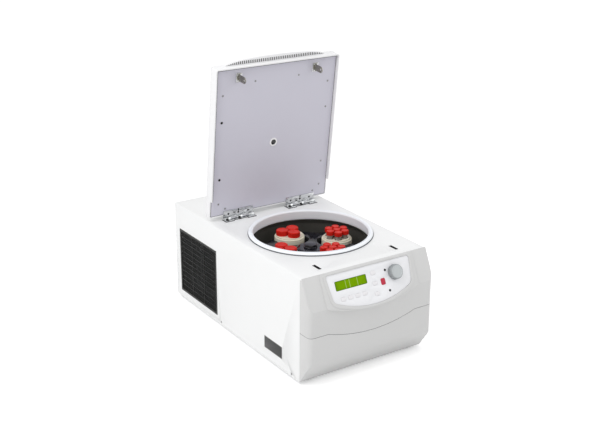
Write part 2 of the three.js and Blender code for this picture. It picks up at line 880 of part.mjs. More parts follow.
function bowlSolid() {
  const outer = bowlBend(bowlSheet);
  const inner = bowlBend(0).reverse();
  const profile = [
    [shaftHole, bowlFloor - bowlSheet], ...outer,
    [bowlRadius + bowlSheet, bowlShoulder + bowlSheet], [bowlNeckRadius + bowlSheet, bowlNeck],
    [bowlNeckRadius, bowlNeck], [bowlRadius, bowlShoulder], ...inner, [shaftHole, bowlFloor],
  ];
  return revolve(profile);
}
addPiece(chamber, "bowl", bowlSolid(), 0x3a3838, 0.3, 0.8);

function sealSolid() {
  return revolve([
    [bowlNeckRadius - sealEdge / 2, bowlNeck + clearance], [sealSeat - sealEdge / 2, bowlNeck + clearance],
    [sealSeat, bowlNeck + sealEdge], [sealSeat, deckHeight + clearance], [sealOuter, deckHeight + clearance],
    [sealOuter, deckHeight + sealEdge], [sealOuter - 2 * sealEdge, sealTop], [sealInner + sealEdge, sealTop],
    [sealInner, sealTop - sealEdge], [sealInner, sealTop - 2 * sealEdge],
    [bowlNeckRadius - sealEdge, bowlNeck + sealEdge],
  ]);
}
addPiece(chamber, "bowl_gasket", sealSolid(), 0xe9eaec, 0.55, 0);

// The coil's centre line clears the bowl at the middle of each straight step.
const coilRadius = (bowlRadius + bowlSheet + clearance + coilTube / 2) / Math.cos(Math.PI / coilStepCount);
const coilLow = bowlFloor + coilAboveFloor;
const coilTop = bowlShoulder - coilBelowShoulder;
class Helix extends THREE.Curve {
  getPoint(share, target = new THREE.Vector3()) {
    const turn = 2 * Math.PI * coilTurnCount * share;
    const height = coilLow + (coilTop - coilLow) * share;
    return target.set(coilRadius * Math.cos(turn), coilRadius * Math.sin(turn), height);
  }
}
function coilSolid() {
  const corners = polygon(coilTube / 2, coilSideCount);
  const section = new THREE.Shape(corners.map(([x, y]) => new THREE.Vector2(x, y)));
  const geometry = new THREE.ExtrudeGeometry(section, {
    steps: coilStepCount * coilTurnCount, bevelEnabled: false, extrudePath: new Helix(),
  });
  return solidOf(geometry);
}
addPiece(chamber, "evaporator_coil", coilSolid(), 0xb87333, 0.35, 1);

function jacketSolid() {
  const inner = (coilRadius + coilTube / 2 + clearance) / Math.cos(Math.PI / jacketSideCount);
  const floorTop = bowlFloor - bowlSheet - clearance;
  const floorLow = floorTop - jacketFloor;
  const bottom = panFloor + clearance;
  const top = deckHeight - sheet - clearance;
  const lip = bowlNeck + clearance;
  const throat = sealSeat + jacketTopGap;
  return revolve([
    [shaftHole + motorBossRadius, floorTop], [inner, floorTop], [inner, bowlShoulder + clearance],
    [throat, lip], [throat, top],
    [jacketOuter, top], [jacketOuter, bottom], [inner, bottom], [inner, floorLow],
    [shaftHole + motorBossRadius, floorLow],
  ], jacketSideCount);
}
addPiece(chamber, "bowl_insulation", jacketSolid(), 0xd9cfa8, 0.9, 0);

// Motor with its finned case and three-eared flange on rubber mounts.
const mountAngles = [...Array(mountCount).keys()].map((k) => Math.PI / 6 + k * 2 * Math.PI / mountCount);
const mountCircle = motorRadius + mountOutside;
const mountTop = panFloor + mountHeight;
const motorBottom = panFloor + motorAbovePan;
const motorTop = bowlFloor - motorBelowBowl;
function motorSolid() {
  const flangeLow = mountTop + clearance;
  const parts = [
    revolve([
      [0, motorBottom], [motorRadius - motorFinDepth, motorBottom],
      [motorRadius, motorBottom + motorFinDepth], [motorRadius, motorTop - motorBossRadius],
      [motorBossRadius + motorFinDepth, motorTop - motorFinDepth],
      [motorBossRadius, motorTop], [0, motorTop],
    ], 12),
  ];
  for (const angle of mountAngles) {
    const ear = block(0, mountCircle, -motorEarRadius, motorEarRadius, flangeLow, flangeLow + motorFlange);
    const end = bar(motorEarRadius, flangeLow, flangeLow + motorFlange, "z", mountCircle, 0);
    parts.push(turned(ear.add(end), angle));
  }
  const grooves = [];
  for (let k = 0; k < motorFinCount; k += 1) {
    const groove = block(
      motorRadius - motorFinDepth, motorRadius + overrun, -motorFinWidth / 2, motorFinWidth / 2,
      flangeLow + 2 * motorFlange, motorTop - motorBossRadius - motorFlange);
    grooves.push(turned(groove, 2 * Math.PI * k / motorFinCount));
  }
  const seat = motorTop - shaftSeat - clearance;
  const bore = bar(shaftRadius + clearance, seat, motorTop + overrun, "z", 0, 0, 16);
  return joined(parts).subtract(joined(grooves)).subtract(bore);
}
addPiece(chamber, "motor_housing", motorSolid(), 0x777b80, 0.5, 0.8);

mountAngles.forEach((angle, i) => {
  const low = panFloor + clearance;
  const middle = (low + mountTop) / 2;
  const mount = addPiece(chamber, `motor_mount_${i + 1}`, revolve([
    [0, low], [mountRadius, low], [mountRadius, low + panSheet], [mountWaist, middle],
    [mountRadius, mountTop - panSheet], [mountRadius, mountTop], [0, mountTop],
  ], 10), 0x202122, 0.85, 0);
  mount.position.set(mountCircle * Math.cos(angle), mountCircle * Math.sin(angle), 0);
});

// Rotor group, turned as it stopped.
const rotor = new THREE.Group();
rotor.rotation.z = rotorTurn;
chamber.add(rotor);

const shaftTop = rotorTop + nutHeight - nutRecess;
addPiece(rotor, "motor_shaft", revolve([
  [0, motorTop - shaftSeat], [shaftRadius, motorTop - shaftSeat],
  [shaftRadius, shaftTop - shaftChamfer], [shaftRadius - shaftChamfer, shaftTop], [0, shaftTop],
], 16), 0xa9adb2, 0.25, 1);

// Cast rotor: a dished disc cut by four bucket slots with round inner ends, leaving
// four waisted arms whose horns carry the trunnion pins.
function rotorSolid() {
  const disc = revolve([
    [0, hubBottom], [hubRadius - rotorEdge, hubBottom], [hubRadius, hubBottom + rotorEdge],
    [hubRadius + rotorEdge, (hubBottom + rotorRimBottom) / 2], [rotorRadius - rotorEdge, rotorRimBottom],
    [rotorRadius, rotorRimBottom + rotorEdge], [rotorRadius, rotorRimTop - rotorEdge],
    [rotorRadius - rotorEdge, rotorRimTop], [hubRadius + 2 * hubStep, rotorRimTop], [hubRadius, rotorTop],
    [0, rotorTop],
  ], 24);
  const span = slotHalfWidth;
  const reach = rotorRadius + overrun;
  const slot = [];
  const steps = 6;
  const spread = Math.asin(span / slotScallop);
  for (let k = 0; k <= steps; k += 1) {
    const turn = spread * (2 * k / steps - 1);
    slot.push([pivotRadius - slotScallop * Math.cos(turn), slotScallop * Math.sin(turn)]);
  }
  slot.push([reach, span], [reach, -span]);
  const cut = pull(slot, hubBottom - overrun, rotorTop + overrun, "z");
  const scallop = bar(hornScallop, hubBottom - overrun, rotorTop + overrun, "z", hornScallopOut, 0, 20);
  const bore = bar(shaftRadius + clearance, hubBottom - overrun, rotorTop + overrun, "z", 0, 0, 16);
  let body = disc.subtract(bore);
  for (let k = 0; k < bucketCount; k += 1) {
    const turn = 2 * Math.PI * k / bucketCount;
    body = body.subtract(turned(cut, turn)).subtract(turned(scallop, turn + Math.PI / bucketCount));
  }
  for (let k = 0; k < bucketCount; k += 1) {
    for (const middle of [-slotHalfWidth, slotHalfWidth]) {
      const pin = bar(pinRadius, middle - pinReach, middle + pinReach, "y", pivotRadius, pivotHeight, 8);
      body = body.add(turned(pin, 2 * Math.PI * k / bucketCount));
    }
  }
  return body;
}
addPiece(rotor, "rotor_cross", rotorSolid(), 0x17181c, 0.3, 0.6);

// Rotor nut with flats and a blind bore over the shaft's end.
function nutSolid() {
  const low = rotorTop + clearance;
  const top = rotorTop + nutHeight;
  const body = revolve([
    [0, low], [nutRadius, low], [nutRadius, top - nutRecess], [nutRadius - nutRecess, top], [0, top],
  ], 24);
  const around = pull(polygon(2 * nutRadius, nutFlatCount), low + nutRecess, top + overrun, "z");
  const hexagon = pull(polygon(nutRadius, nutFlatCount), low, top + 2 * overrun, "z");
  const bore = bar(shaftRadius + clearance, low - overrun, shaftTop + clearance, "z", 0, 0, 16);
  return body.subtract(around.subtract(hexagon)).subtract(bore);
}
addPiece(rotor, "rotor_nut", nutSolid(), 0x8f9398, 0.25, 0.9);

const bucketSeat = bucketStep - bucketCollarWall + bucketWall / 2;

// Bucket: thick collar with downward-open trunnion seats, tapering body.
function bucketSolid() {
  const shell = revolve([
    [0, -bucketBottom], [bucketFoot, -bucketBottom], [bucketBody, -bucketTaperTop],
    [bucketBody, -bucketCollarBottom], [bucketRim, bucketStep - bucketCollarBottom],
    [bucketRim, bucketRimTop],
    [bucketCollarBore, bucketRimTop], [bucketCollarBore, bucketSeat - bucketCollarBottom],
    [bucketBody - bucketWall, -bucketCollarBottom], [bucketBody - bucketWall, -bucketTaperTop],
    [bucketFoot - bucketWall, bucketWall - bucketBottom], [0, bucketWall - bucketBottom],
  ], bucketSideCount);
  const seats = [];
  const radius = pinRadius + clearance;
  const deep = slotHalfWidth - pinReach - clearance;
  for (const [y0, y1] of [[-slotHalfWidth, -deep], [deep, slotHalfWidth]]) {
    seats.push(bar(radius, y0, y1, "y", 0, 0, 10));
    seats.push(block(-radius, radius, y0, y1, -bucketCollarBottom - overrun, 0));
  }
  return shell.subtract(joined(seats));
}

// A screw cap with a softened top edge.
function capSolid(diameter, low, high, x, y, sides) {
  const radius = diameter / 2;
  const side = [[radius, low], [radius, high - capEdge], [radius - capEdge, high]];
  return moved(revolve([[0, low], ...side, [0, high]], sides), x, y);
}

// Rack body with its stepped flange on the bucket's rim.
function rackBody() {
  const low = bucketRimTop + clearance;
  const top = low + rackFlange;
  const body = bucketBody - bucketWall - clearance;
  const bore = bucketCollarBore - clearance;
  return revolve([
    [0, -rackBodyBottom], [bucketFoot, -rackBodyBottom], [body, bucketWall - bucketTaperTop],
    [body, clearance - bucketCollarBottom], [bore, bucketSeat + clearance - bucketCollarBottom],
    [bore, low], [bucketRim, low], [bucketRim, top], [bucketRim - rackStepIn, top],
    [bucketRim - rackStepIn, top + rackStep], [0, top + rackStep],
  ], bucketSideCount);
}
const rackTop = bucketRimTop + clearance + rackFlange + rackStep;

function largeRack() {
  const offset = (largeCap + largeCapGap) / Math.sqrt(3);
  const low = rackTop - largeCapSink;
  const caps = [0, 1, 2].map((k) => {
    const turn = 2 * Math.PI * k / 3 + Math.PI / 3;
    const [x, y] = [offset * Math.cos(turn), offset * Math.sin(turn)];
    return capSolid(largeCap, low, rackTop + largeCapHeight, x, y, largeCapSideCount);
  });
  return rackBody().add(joined(caps));
}

function smallRack() {
  const lift = rackTop + smallCapLift;
  const sunk = rackTop - rackFlange / 2;
  const tubes = [[0, 0], ...polygon(smallCapPitch, 6)].map(([x, y]) => (
    bar(smallTube / 2, sunk, lift + capEdge, "z", x, y, 6)
      .add(capSolid(smallCap, lift, lift + smallCapHeight, x, y, smallCapSideCount))));
  return rackBody().add(joined(tubes));
}

const cream = 0xe1dec9;
const capRed = 0xc8221f;
["right", "rear", "left", "front"].forEach((place, k) => {
  const arm = new THREE.Group();
  arm.rotation.z = 2 * Math.PI * k / bucketCount;
  rotor.add(arm);
  const bucket = addPiece(arm, `bucket_${place}`, bucketSolid(), cream, 0.45, 0.1);
  bucket.position.set(pivotRadius, 0, pivotHeight);
  const large = place === "rear" || place === "left";
  const rack = addPiece(arm, `tube_rack_${place}`, large ? largeRack() : smallRack(), capRed, 0.45, 0);
  rack.position.set(pivotRadius, 0, pivotHeight);
  if (place === "left") rack.rotation.z = leftRackTurn;
});

// Control panel pieces on the slope.
const panel = slopeFrame();
centrifuge.add(panel);

const keyPlaces = [
  ["key_speed", keyRowLeft, keyRowDepth], ["key_time", keyRowLeft + keyRowPitch, keyRowDepth],
  ["key_temperature", keyRowLeft + 2 * keyRowPitch, keyRowDepth],
  ["key_program", keyRowLeft + 3 * keyRowPitch, keyRowDepth],
  ["key_lid", keyColumn, keyColumnTop], ["key_start", keyColumn, keyColumnTop + keyColumnPitch],
  ["key_short_spin", keyColumn, keyColumnTop + 2 * keyColumnPitch],
  ["key_stop", stopColumn, stopDepth, stopWidth, stopHeight],
];

function keyShape(x, depth, wide = keyWidth, tall = keyHeight, grow = 0) {
  const [half, high] = [wide / 2 + grow, tall / 2 + grow];
  return roundedRect(x - half, x + half, -depth - high, -depth + high, keyCorner + grow, 1);
}

function keypadPanel() {
  const low = recessFloor + clearance;
  const plate = pull(panelOutline(0), low, panelFace, "z");
  const holes = keyPlaces.map(([, x, depth, wide, tall]) => pull(
    keyShape(x, depth, wide, tall, clearance), low - overrun, panelFace + overrun, "z"));
  holes.push(pull(
    roundedRect(displayLeft - clearance, displayLeft + displayWidth + clearance,
      -displayTop - displayHeight - clearance, -displayTop + clearance, keyCorner, 1),
    low - overrun, panelFace + overrun, "z"));
  holes.push(bar(knobShaftRadius + clearance, low - overrun, panelFace + overrun, "z", knobX, -knobDepth));
  return plate.subtract(joined(holes));
}
addPiece(panel, "keypad_panel", keypadPanel(), 0xe8e6ea, 0.25, 0);

const displaySolid = pull(
  roundedRect(
    displayLeft, displayLeft + displayWidth, -displayTop - displayHeight, -displayTop,
    keyCorner - clearance, 1),
  recessFloor + clearance, panelFace - clearance, "z");
addPiece(panel, "display_window", displaySolid, 0x78a010, 0.2, 0);

for (const [name, x, depth, wide, tall] of keyPlaces) {
  const low = recessFloor + clearance + keyTravel;
  const key = pull(keyShape(0, 0, wide, tall), 0, panelFace + keyProud - low, "z");
  const mesh = addPiece(panel, name, key, name === "key_stop" ? 0xbe193c : 0xf0eef0, 0.3, 0);
  mesh.position.set(x, -depth, low);
}

// Knob with a fluted skirt, a dished face and its shaft.
function knobSolid() {
  const body = revolve([
    [0, 0], [knobRadius - knobEdge, 0], [knobRadius, knobEdge],
    [knobRadius - knobEdge / 2, knobHeight - knobEdge], [knobRadius - 2 * knobEdge, knobHeight],
    [knobRadius - 3 * knobEdge, knobHeight - knobDish], [0, knobHeight - knobDish],
  ], 18);
  const grooves = [];
  for (let k = 0; k < knobGrooveCount; k += 1) {
    const turn = 2 * Math.PI * k / knobGrooveCount;
    grooves.push(bar(knobGrooveRadius, knobEdge * 2, knobHeight + overrun, "z",
      knobRadius * Math.cos(turn), knobRadius * Math.sin(turn), 4));
  }
  const shaft = bar(knobShaftRadius, -panelFace - knobLift - boardBehind + clearance, overrun, "z", 0, 0);
  return body.subtract(wasm.Manifold.union(grooves)).add(shaft);
}
const knob = addPiece(panel, "knob", knobSolid(), 0xa9b1b3, 0.4, 0.3);
knob.position.set(knobX, -knobDepth, panelFace + knobLift);

// Board with the knob's encoder and four standoffs under the moulding.
function boardSolid() {
  const face = -boardBehind;
  const under = -mouldedWall - clearance;
  const board = block(-boardHalfWidth, boardHalfWidth, -boardBottom, -boardTop, face - boardThickness, face);
  const root = face - boardThickness / 2;
  const encoder = block(
    knobX - encoderHalf, knobX + encoderHalf, -knobDepth - encoderHalf, -knobDepth + encoderHalf,
    root, under);
  const inset = standoffRadius * 2;
  const posts = [-1, 1].flatMap((side) => [boardTop + inset, boardBottom - inset].map((depth) => bar(
    standoffRadius, root, under, "z", side * (boardHalfWidth - inset), -depth, 8)));
  const chip = block(-displayWidth / 2, displayWidth / 4, -boardBottom + 2 * inset, -boardTop - 2 * inset,
    face - boardThickness - chipHeight, root);
  const bore = bar(
    knobShaftRadius + clearance, face - boardThickness - overrun, under + overrun, "z", knobX, -knobDepth);
  return joined([board, encoder, chip, ...posts]).subtract(bore);
}
addPiece(panel, "control_board", boardSolid(), 0x2f6b3a, 0.6, 0);

// Lid group, turned open about its hinge axis. Inside it, y = -distance from the axis.
const lid = new THREE.Group();
lid.position.set(0, hingeY, hingeHeight);
lid.rotation.x = -lidOpenAngle;
centrifuge.add(lid);

function lidPlan(inset) {
  const half = halfWidth - inset;
  const corner = Math.max(lidCorner - inset, clearance);
  return roundedRect(-half, half, -lidLength + inset, -lidRear - inset, corner, 3);
}

// Frame: side walls all round with a ledge that carries the inner plate.
function lidFrame() {
  const ledgeLow = plateLift + sheet + clearance;
  const walls = pull(lidPlan(0), -skirtDrop, frameTop, "z")
    .subtract(pull(lidPlan(mouldedWall), -skirtDrop - overrun, frameTop + overrun, "z"));
  const ledge = pull(lidPlan(0), ledgeLow, ledgeLow + ledgeThickness, "z")
    .subtract(pull(lidPlan(ledgeWidth), ledgeLow - overrun, ledgeLow + ledgeThickness + overrun, "z"));
  const cutBack = block(
    -halfWidth - overrun, halfWidth + overrun, -skirtCutBack, overrun, -skirtDrop - overrun, plateLift);
  return walls.add(ledge).subtract(cutBack);
}
addPiece(lid, "lid_frame", lidFrame(), white, 0.4, 0);

// Height of the cover's crown over its lower edge at a place across the lid.
function crownAt(x) {
  const rise = coverRise - coverEdge;
  const radius = (halfWidth * halfWidth + rise * rise) / (2 * rise);
  return coverRise - radius + Math.sqrt(radius * radius - x * x);
}

// Cover: crowned across, bowed at the front, with upright grip ribs on its front face.
function lidCover() {
  const low = frameTop + clearance;
  const crown = (inset) => {
    const half = halfWidth - inset;
    const steps = 14;
    const points = [];
    for (let k = 0; k <= steps; k += 1) {
      const x = half * (1 - 2 * k / steps);
      points.push([x, low + crownAt(x) - inset]);
    }
    const bottom = low - (inset > 0 ? overrun : 0);
    return [[-half, bottom], [half, bottom], ...points];
  };
  const plan = (inset) => {
    const half = halfWidth - inset;
    const bow = sagArc(half, coverBow, -lidLength + inset, 14).map(([x, y]) => [x, y, 0]);
    bow[0][2] = lidCorner / 2;
    bow[bow.length - 1][2] = lidCorner / 2;
    const rear = -lidRear - inset;
    const corner = lidCorner - inset;
    return outline([...bow, [half, rear, corner], [-half, rear, corner]], 2);
  };
  const height = low + coverRise + overrun;
  const outer = pull(crown(0), -2 * lidLength, overrun, "y").intersect(pull(plan(0), low, height, "z"));
  const inner = pull(crown(mouldedWall), -2 * lidLength, overrun, "y")
    .intersect(pull(plan(mouldedWall), low - overrun, height, "z"));
  const grooves = [];
  for (let k = 0; k < gripRibCount; k += 1) {
    const x = (k - (gripRibCount - 1) / 2) * gripPitch;
    const bowRadius = (halfWidth * halfWidth + coverBow * coverBow) / (2 * coverBow);
    const front = -lidLength - coverBow + bowRadius - Math.sqrt(bowRadius * bowRadius - x * x);
    grooves.push(block(
      x - gripGroove / 2, x + gripGroove / 2, front - overrun, front + gripDepth,
      low - overrun, low + crownAt(x) * gripShare));
  }
  const port = bar(sightRadius + clearance, low, height, "z", 0, -hingeBehindBowl, 16);
  return outer.subtract(inner).subtract(wasm.Manifold.union(grooves)).subtract(port);
}
addPiece(lid, "lid_cover", lidCover(), white, 0.4, 0);

const innerPlate = pull(lidPlan(mouldedWall + clearance), plateLift, plateLift + sheet, "z")
  .subtract(bar(
    sightRadius + clearance, plateLift - overrun, plateLift + sheet + overrun, "z", 0, -hingeBehindBowl, 16));
addPiece(lid, "lid_inner_plate", innerPlate, 0xb9b7c4, 0.4, 0.3);

// Sight port through the lid over the rotor's axis.
const sight = bar(sightRadius, plateLift - sightLip, frameTop + coverRise, "z", 0, 0, 16)
  .add(bar(sightFlange, plateLift - clearance - sightLip, plateLift - clearance, "z", 0, 0, 20))
  .subtract(bar(sightRadius - sightLip, plateLift - sightLip - overrun, plateLift + overrun, "z", 0, 0, 16));
const sightGlass = addPiece(lid, "sight_glass", sight, 0x303236, 0.15, 0);
sightGlass.position.y = -hingeBehindBowl;

// Latch hooks on the plate and the latch units they drop into.
function hookSolid() {
  const far = hookNear + hookWide;
  const middle = hookNear + hookWide / 2;
  const top = plateLift - clearance;
  const blade = pull(outline([
    [-far, top], [-far, -hookReach + hookWide / 3, hookWide / 4], [-middle, -hookReach, hookWide / 4],
    [-hookNear, -hookReach + hookWide / 3, hookWide / 4], [-hookNear, top],
  ], 3), -hookThickness / 2, hookThickness / 2, "x");
  const foot = block(
    -hookFootWide / 2, hookFootWide / 2, -middle - hookFoot / 2, -middle + hookFoot / 2,
    top - hookFootThickness, top);
  const eye = bar(hookEye, -hookThickness, hookThickness, "x", -middle, -hookReach + hookWide / 2, 16);
  return blade.add(foot).subtract(eye);
}

function latchSolid(sign) {
  const top = deckHeight - sheet - clearance;
  const low = top - latchHeight;
  const body = block(
    -latchHalfWidth, latchHalfWidth, bowlY - slotFar - latchMargin, bowlY - slotNear + latchMargin, low, top);
  const half = slotWidth / 2 + clearance;
  const cavity = block(
    -half, half, bowlY - slotFar - clearance, bowlY - slotNear + clearance, low + latchWall, top + overrun);
  const rod = [sign * (half + latchWall), sign * 2 * latchHalfWidth];
  const boltY = bowlY - slotNear - hookWide;
  const bolt = bar(latchRod, Math.min(...rod), Math.max(...rod), "x", boltY, (low + top) / 2, 10);
  return body.subtract(cavity).add(bolt);
}

for (const [side, sign] of [["left", -1], ["right", 1]]) {
  const hook = addPiece(lid, `latch_hook_${side}`, hookSolid(), 0x6e6a63, 0.35, 0.9);
  hook.position.x = sign * latchX;
  const latch = addPiece(centrifuge, `latch_unit_${side}`, latchSolid(-sign), 0x33363a, 0.6, 0.3);
  latch.position.x = sign * latchX;
}

// Hinges: the deck half and the lid half share a row of knuckleCount on one pin.
const hingeSpan = hingeOuter - hingeInner;
const knuckleLength = hingeSpan / knuckleCount;

function knuckleRow(odd) {
  const rings = [];
  for (let k = 0; k < knuckleCount; k += 1) {
    if ((k % 2 === 1) === odd) {
      const from = knuckleLength * k + clearance / 2;
      rings.push(bar(knuckleRadius, from, from + knuckleLength - clearance, "x", 0, 0, 10));
    }
  }
  return rings;
}

// Webs that tie the knuckleCount of one half to its plate, between two heights and depths.
function knuckleWebs(odd, y0, y1, z0, z1) {
  const webs = [];
  for (let k = 0; k < knuckleCount; k += 1) {
    if ((k % 2 === 1) === odd) {
      const from = knuckleLength * k + clearance / 2;
      webs.push(block(from, from + knuckleLength - clearance, y0, y1, z0, z1));
    }
  }
  return webs;
}

function hingePinHole() {
  return bar(hingePinRadius + clearance, -overrun, hingeSpan + overrun, "x", 0, 0, 10);
}

// Deck half, about the hinge axis: plate on the deck with its bolt holes.
function hingeBaseSolid() {
  const plateTop = deckHeight + clearance + leafThickness - hingeHeight;
  const plateLow = deckHeight + clearance - hingeHeight;
  const tab = hingeSpan / 4;
  const plate = block(0, hingeSpan, -hingePlateFront, hingeFootRear, plateLow, plateTop);
  const tabs = [0, 1].map((k) => block(
    k * (hingeSpan - tab), k * (hingeSpan - tab) + tab, -hingeFootFront, 0, plateLow, plateTop));
  const webs = knuckleWebs(
    false, -hingePinRadius - clearance, knuckleRadius - clearance, plateLow, -hingePinRadius / 2);
  const relief = knuckleWebs(true, -knuckleRadius - 2 * clearance, knuckleRadius + 2 * clearance,
    -knuckleRadius - clearance, knuckleRadius);
  return joined([plate, ...tabs])
    .subtract(joined(relief))
    .add(joined([...knuckleRow(false), ...webs]))
    .subtract(hingePinHole());
}

// Lid half: knuckleCount joined to a leaf that lies against the inner plate.
function hingeLeafSolid() {
  const top = plateLift - clearance;
  const leaf = block(0, hingeSpan, -leafFar, -leafNear, top - leafThickness, top);
  const webs = knuckleWebs(true, -leafNear - 2 * leafThickness, -leafNear, 0, top);
  const row = -(leafFar + leafNear) / 2;
  const screws = [...Array(leafScrewCount).keys()].map((k) => bar(
    leafScrew, top - leafThickness - overrun, top + overrun, "z", hingeSpan * (k + 1 / 2) / leafScrewCount,
    row, 8));
  return leaf.add(joined([...knuckleRow(true), ...webs])).subtract(joined(screws)).subtract(hingePinHole());
}

const hingePinSolid = bar(hingePinRadius, 0, hingeSpan, "x", 0, 0, 10);
for (const [side, x] of [["left", -hingeOuter], ["right", hingeInner]]) {
  const base = addPiece(centrifuge, `hinge_base_${side}`, hingeBaseSolid(), 0xb9bcc0, 0.25, 0.9);
  base.position.set(x, hingeY, hingeHeight);
  const pin = addPiece(centrifuge, `hinge_pin_${side}`, hingePinSolid, 0xc9ccd0, 0.2, 1);
  pin.position.set(x, hingeY, hingeHeight);
  const leaf = addPiece(lid, `hinge_leaf_${side}`, hingeLeafSolid(), 0xc6c9cc, 0.2, 0.95);
  leaf.position.x = x;
}

// Cooling circuit: condenser with its cowl and fan motor, fan, compressor.
const condenserX = condenserFromWall - innerHalf;
const condenserFront = grilleFront + condenserFromGrille;
const condenserRear = grilleRear - condenserToGrilleRear;
const fanY = bowlY + (condenserFront + condenserRear) / 2;
const fanZ = (condenserLow + condenserTop) / 2;
const cowlX = condenserX + condenserThick + cowlGap;
const fanX = cowlX + cowlThickness + clearance;

function condenserSolid() {
  const x1 = condenserX + condenserThick;
  const y0 = bowlY + condenserFront;
  const y1 = bowlY + condenserRear;
  const parts = [
    block(condenserX, cowlX + cowlThickness, y0, y0 + endPlate, condenserLow, condenserTop),
    block(condenserX, cowlX + cowlThickness, y1 - endPlate, y1, condenserLow, condenserTop),
  ];
  const pitch = (y1 - y0) / (condenserFinCount + 1);
  for (let k = 1; k <= condenserFinCount; k += 1) {
    const y = y0 + pitch * k;
    parts.push(block(
      condenserX, x1, y - finThickness / 2, y + finThickness / 2, condenserLow + endPlate, condenserTop));
  }
  const rise = (condenserTop - condenserLow) / condenserTubeCount;
  for (let k = 0; k < condenserTubeCount; k += 1) {
    const z = condenserLow + rise * (k + 1 / 2);
    parts.push(bar(condenserTube / 2, y0, y1, "y", (condenserX + x1) / 2, z, 4));
  }
  const cowl = block(cowlX, cowlX + cowlThickness, y0, y1, condenserLow, condenserTop)
    .subtract(bar(fanRadius + fanTip, cowlX - overrun, cowlX + cowlThickness + overrun, "x", fanY, fanZ, 20));
  const motorFront = fanX + fanDepth + 2 * fanTip;
  const motor = bar(fanMotorRadius, motorFront, motorFront + fanMotorLength, "x", fanY, fanZ, 12);
  const bore = bar(
    fanShaftRadius + clearance, motorFront - overrun, motorFront + fanMotorLength / 2, "x", fanY, fanZ, 12);
  const armEnd = fanRadius + 2 * fanTip + fanStrut;
  const strut = (from, to, x0) => block(
    x0, motorFront + 2 * fanStrut, fanY - fanStrut / 2, fanY + fanStrut / 2, fanZ + from, fanZ + to);
  const struts = [
    strut(-armEnd, armEnd, motorFront + fanStrut), strut(-armEnd, fanStrut - armEnd, cowlX),
    strut(armEnd - fanStrut, armEnd, cowlX),
  ];
  return wasm.Manifold.union([...parts, cowl]).add(motor).add(joined(struts)).subtract(bore);
}
addPiece(centrifuge, "condenser", condenserSolid(), 0x9ea2a6, 0.5, 0.8);

// Fan with pitched, widening blades on a hub and its stub shaft.
function fanSolid() {
  const hub = bar(fanHub, 0, fanDepth, "x", 0, 0, 12);
  const blades = [];
  for (let k = 0; k < fanBladeCount; k += 1) {
    const start = fanHub - fanTip;
    const [tip, corner] = [fanRadius - fanTip, 2 * fanTip];
    const points = outline([
      [-bladeRootWidth / 2, start], [bladeRootWidth / 2, start], [bladeTipWidth / 2, tip, corner],
      [-bladeTipWidth / 2, tip, corner],
    ], 1);
    const shape = new THREE.Shape(points);
    const geometry = new THREE.ExtrudeGeometry(shape, { depth: bladeThickness, bevelEnabled: false });
    geometry.translate(0, 0, -bladeThickness / 2);
    geometry.rotateX(Math.PI / 2);
    geometry.rotateZ(Math.PI / 2 - fanPitch);
    geometry.translate(fanDepth / 2, 0, 0);
    geometry.rotateX(2 * Math.PI * k / fanBladeCount);
    blades.push(solidOf(geometry));
  }
  const within = bar(fanRadius, 0, fanDepth, "x", 0, 0, 20);
  const stubEnd = fanDepth + 2 * fanTip + fanMotorLength / 2 - 2 * clearance;
  const stub = bar(fanShaftRadius, 0, stubEnd, "x", 0, 0, 8);
  return wasm.Manifold.union(blades).intersect(within).add(hub).add(stub);
}
const fan = addPiece(centrifuge, "condenser_fan", fanSolid(), 0x2b2d30, 0.55, 0);
fan.position.set(fanX, fanY, fanZ);

// Hermetic compressor on a plate with four short feet, with its two pipe stubs.
function compressorSolid() {
  const low = condenserLow + compressorFootLift;
  const top = condenserLow + compressorHeight;
  const dome = compressorRadius / 3;
  const body = revolve([
    [0, low], [compressorRadius - dome, low], [compressorRadius, low + dome], [compressorRadius, top - dome],
    [compressorRadius * compressorShoulderShare, top - dome / 3],
    [compressorRadius * compressorCrownShare, top], [0, top],
  ], 12);
  const plate = pull(
    roundedRect(-compressorFoot, compressorFoot, -compressorFoot, compressorFoot, compressorStud, 1),
    low, low + compressorPlate, "z");
  const studs = [-1, 1].flatMap((i) => [-1, 1].map((k) => bar(
    compressorStudRadius, condenserLow, low + compressorPlate / 2, "z",
    i * (compressorFoot - compressorStud), k * (compressorFoot - compressorStud), 6)));
  const pipes = [-1, 1].map((side) => bar(
    pipeRadius, -compressorRadius - pipeLength, -compressorRadius / 2, "x",
    side * compressorRadius / 4, (low + top) / 2 + side * compressorRadius / 3, 6));
  return joined([body, plate, ...studs, ...pipes]);
}
const compressor = addPiece(centrifuge, "compressor", compressorSolid(), 0x1f2123, 0.45, 0.4);
compressor.position.set(
  innerHalf - compressorFromWall - compressorFoot, rearY - compressorFromRear - compressorFoot, 0);

export default centrifuge;
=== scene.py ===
"""Looks of a refrigerated bench centrifuge with its lid open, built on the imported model.

Sizes in the classes are millimetres in the part's frame: Z up, front towards -Y, and X to
the right seen from the front. Meshes are made in metres, with their place in the mesh.
"""

import logging
import math
from contextlib import contextmanager
from dataclasses import dataclass
from enum import Enum
from typing import Iterable, Iterator, Optional, Sequence

import bpy
from mathutils import Euler, Matrix, Vector


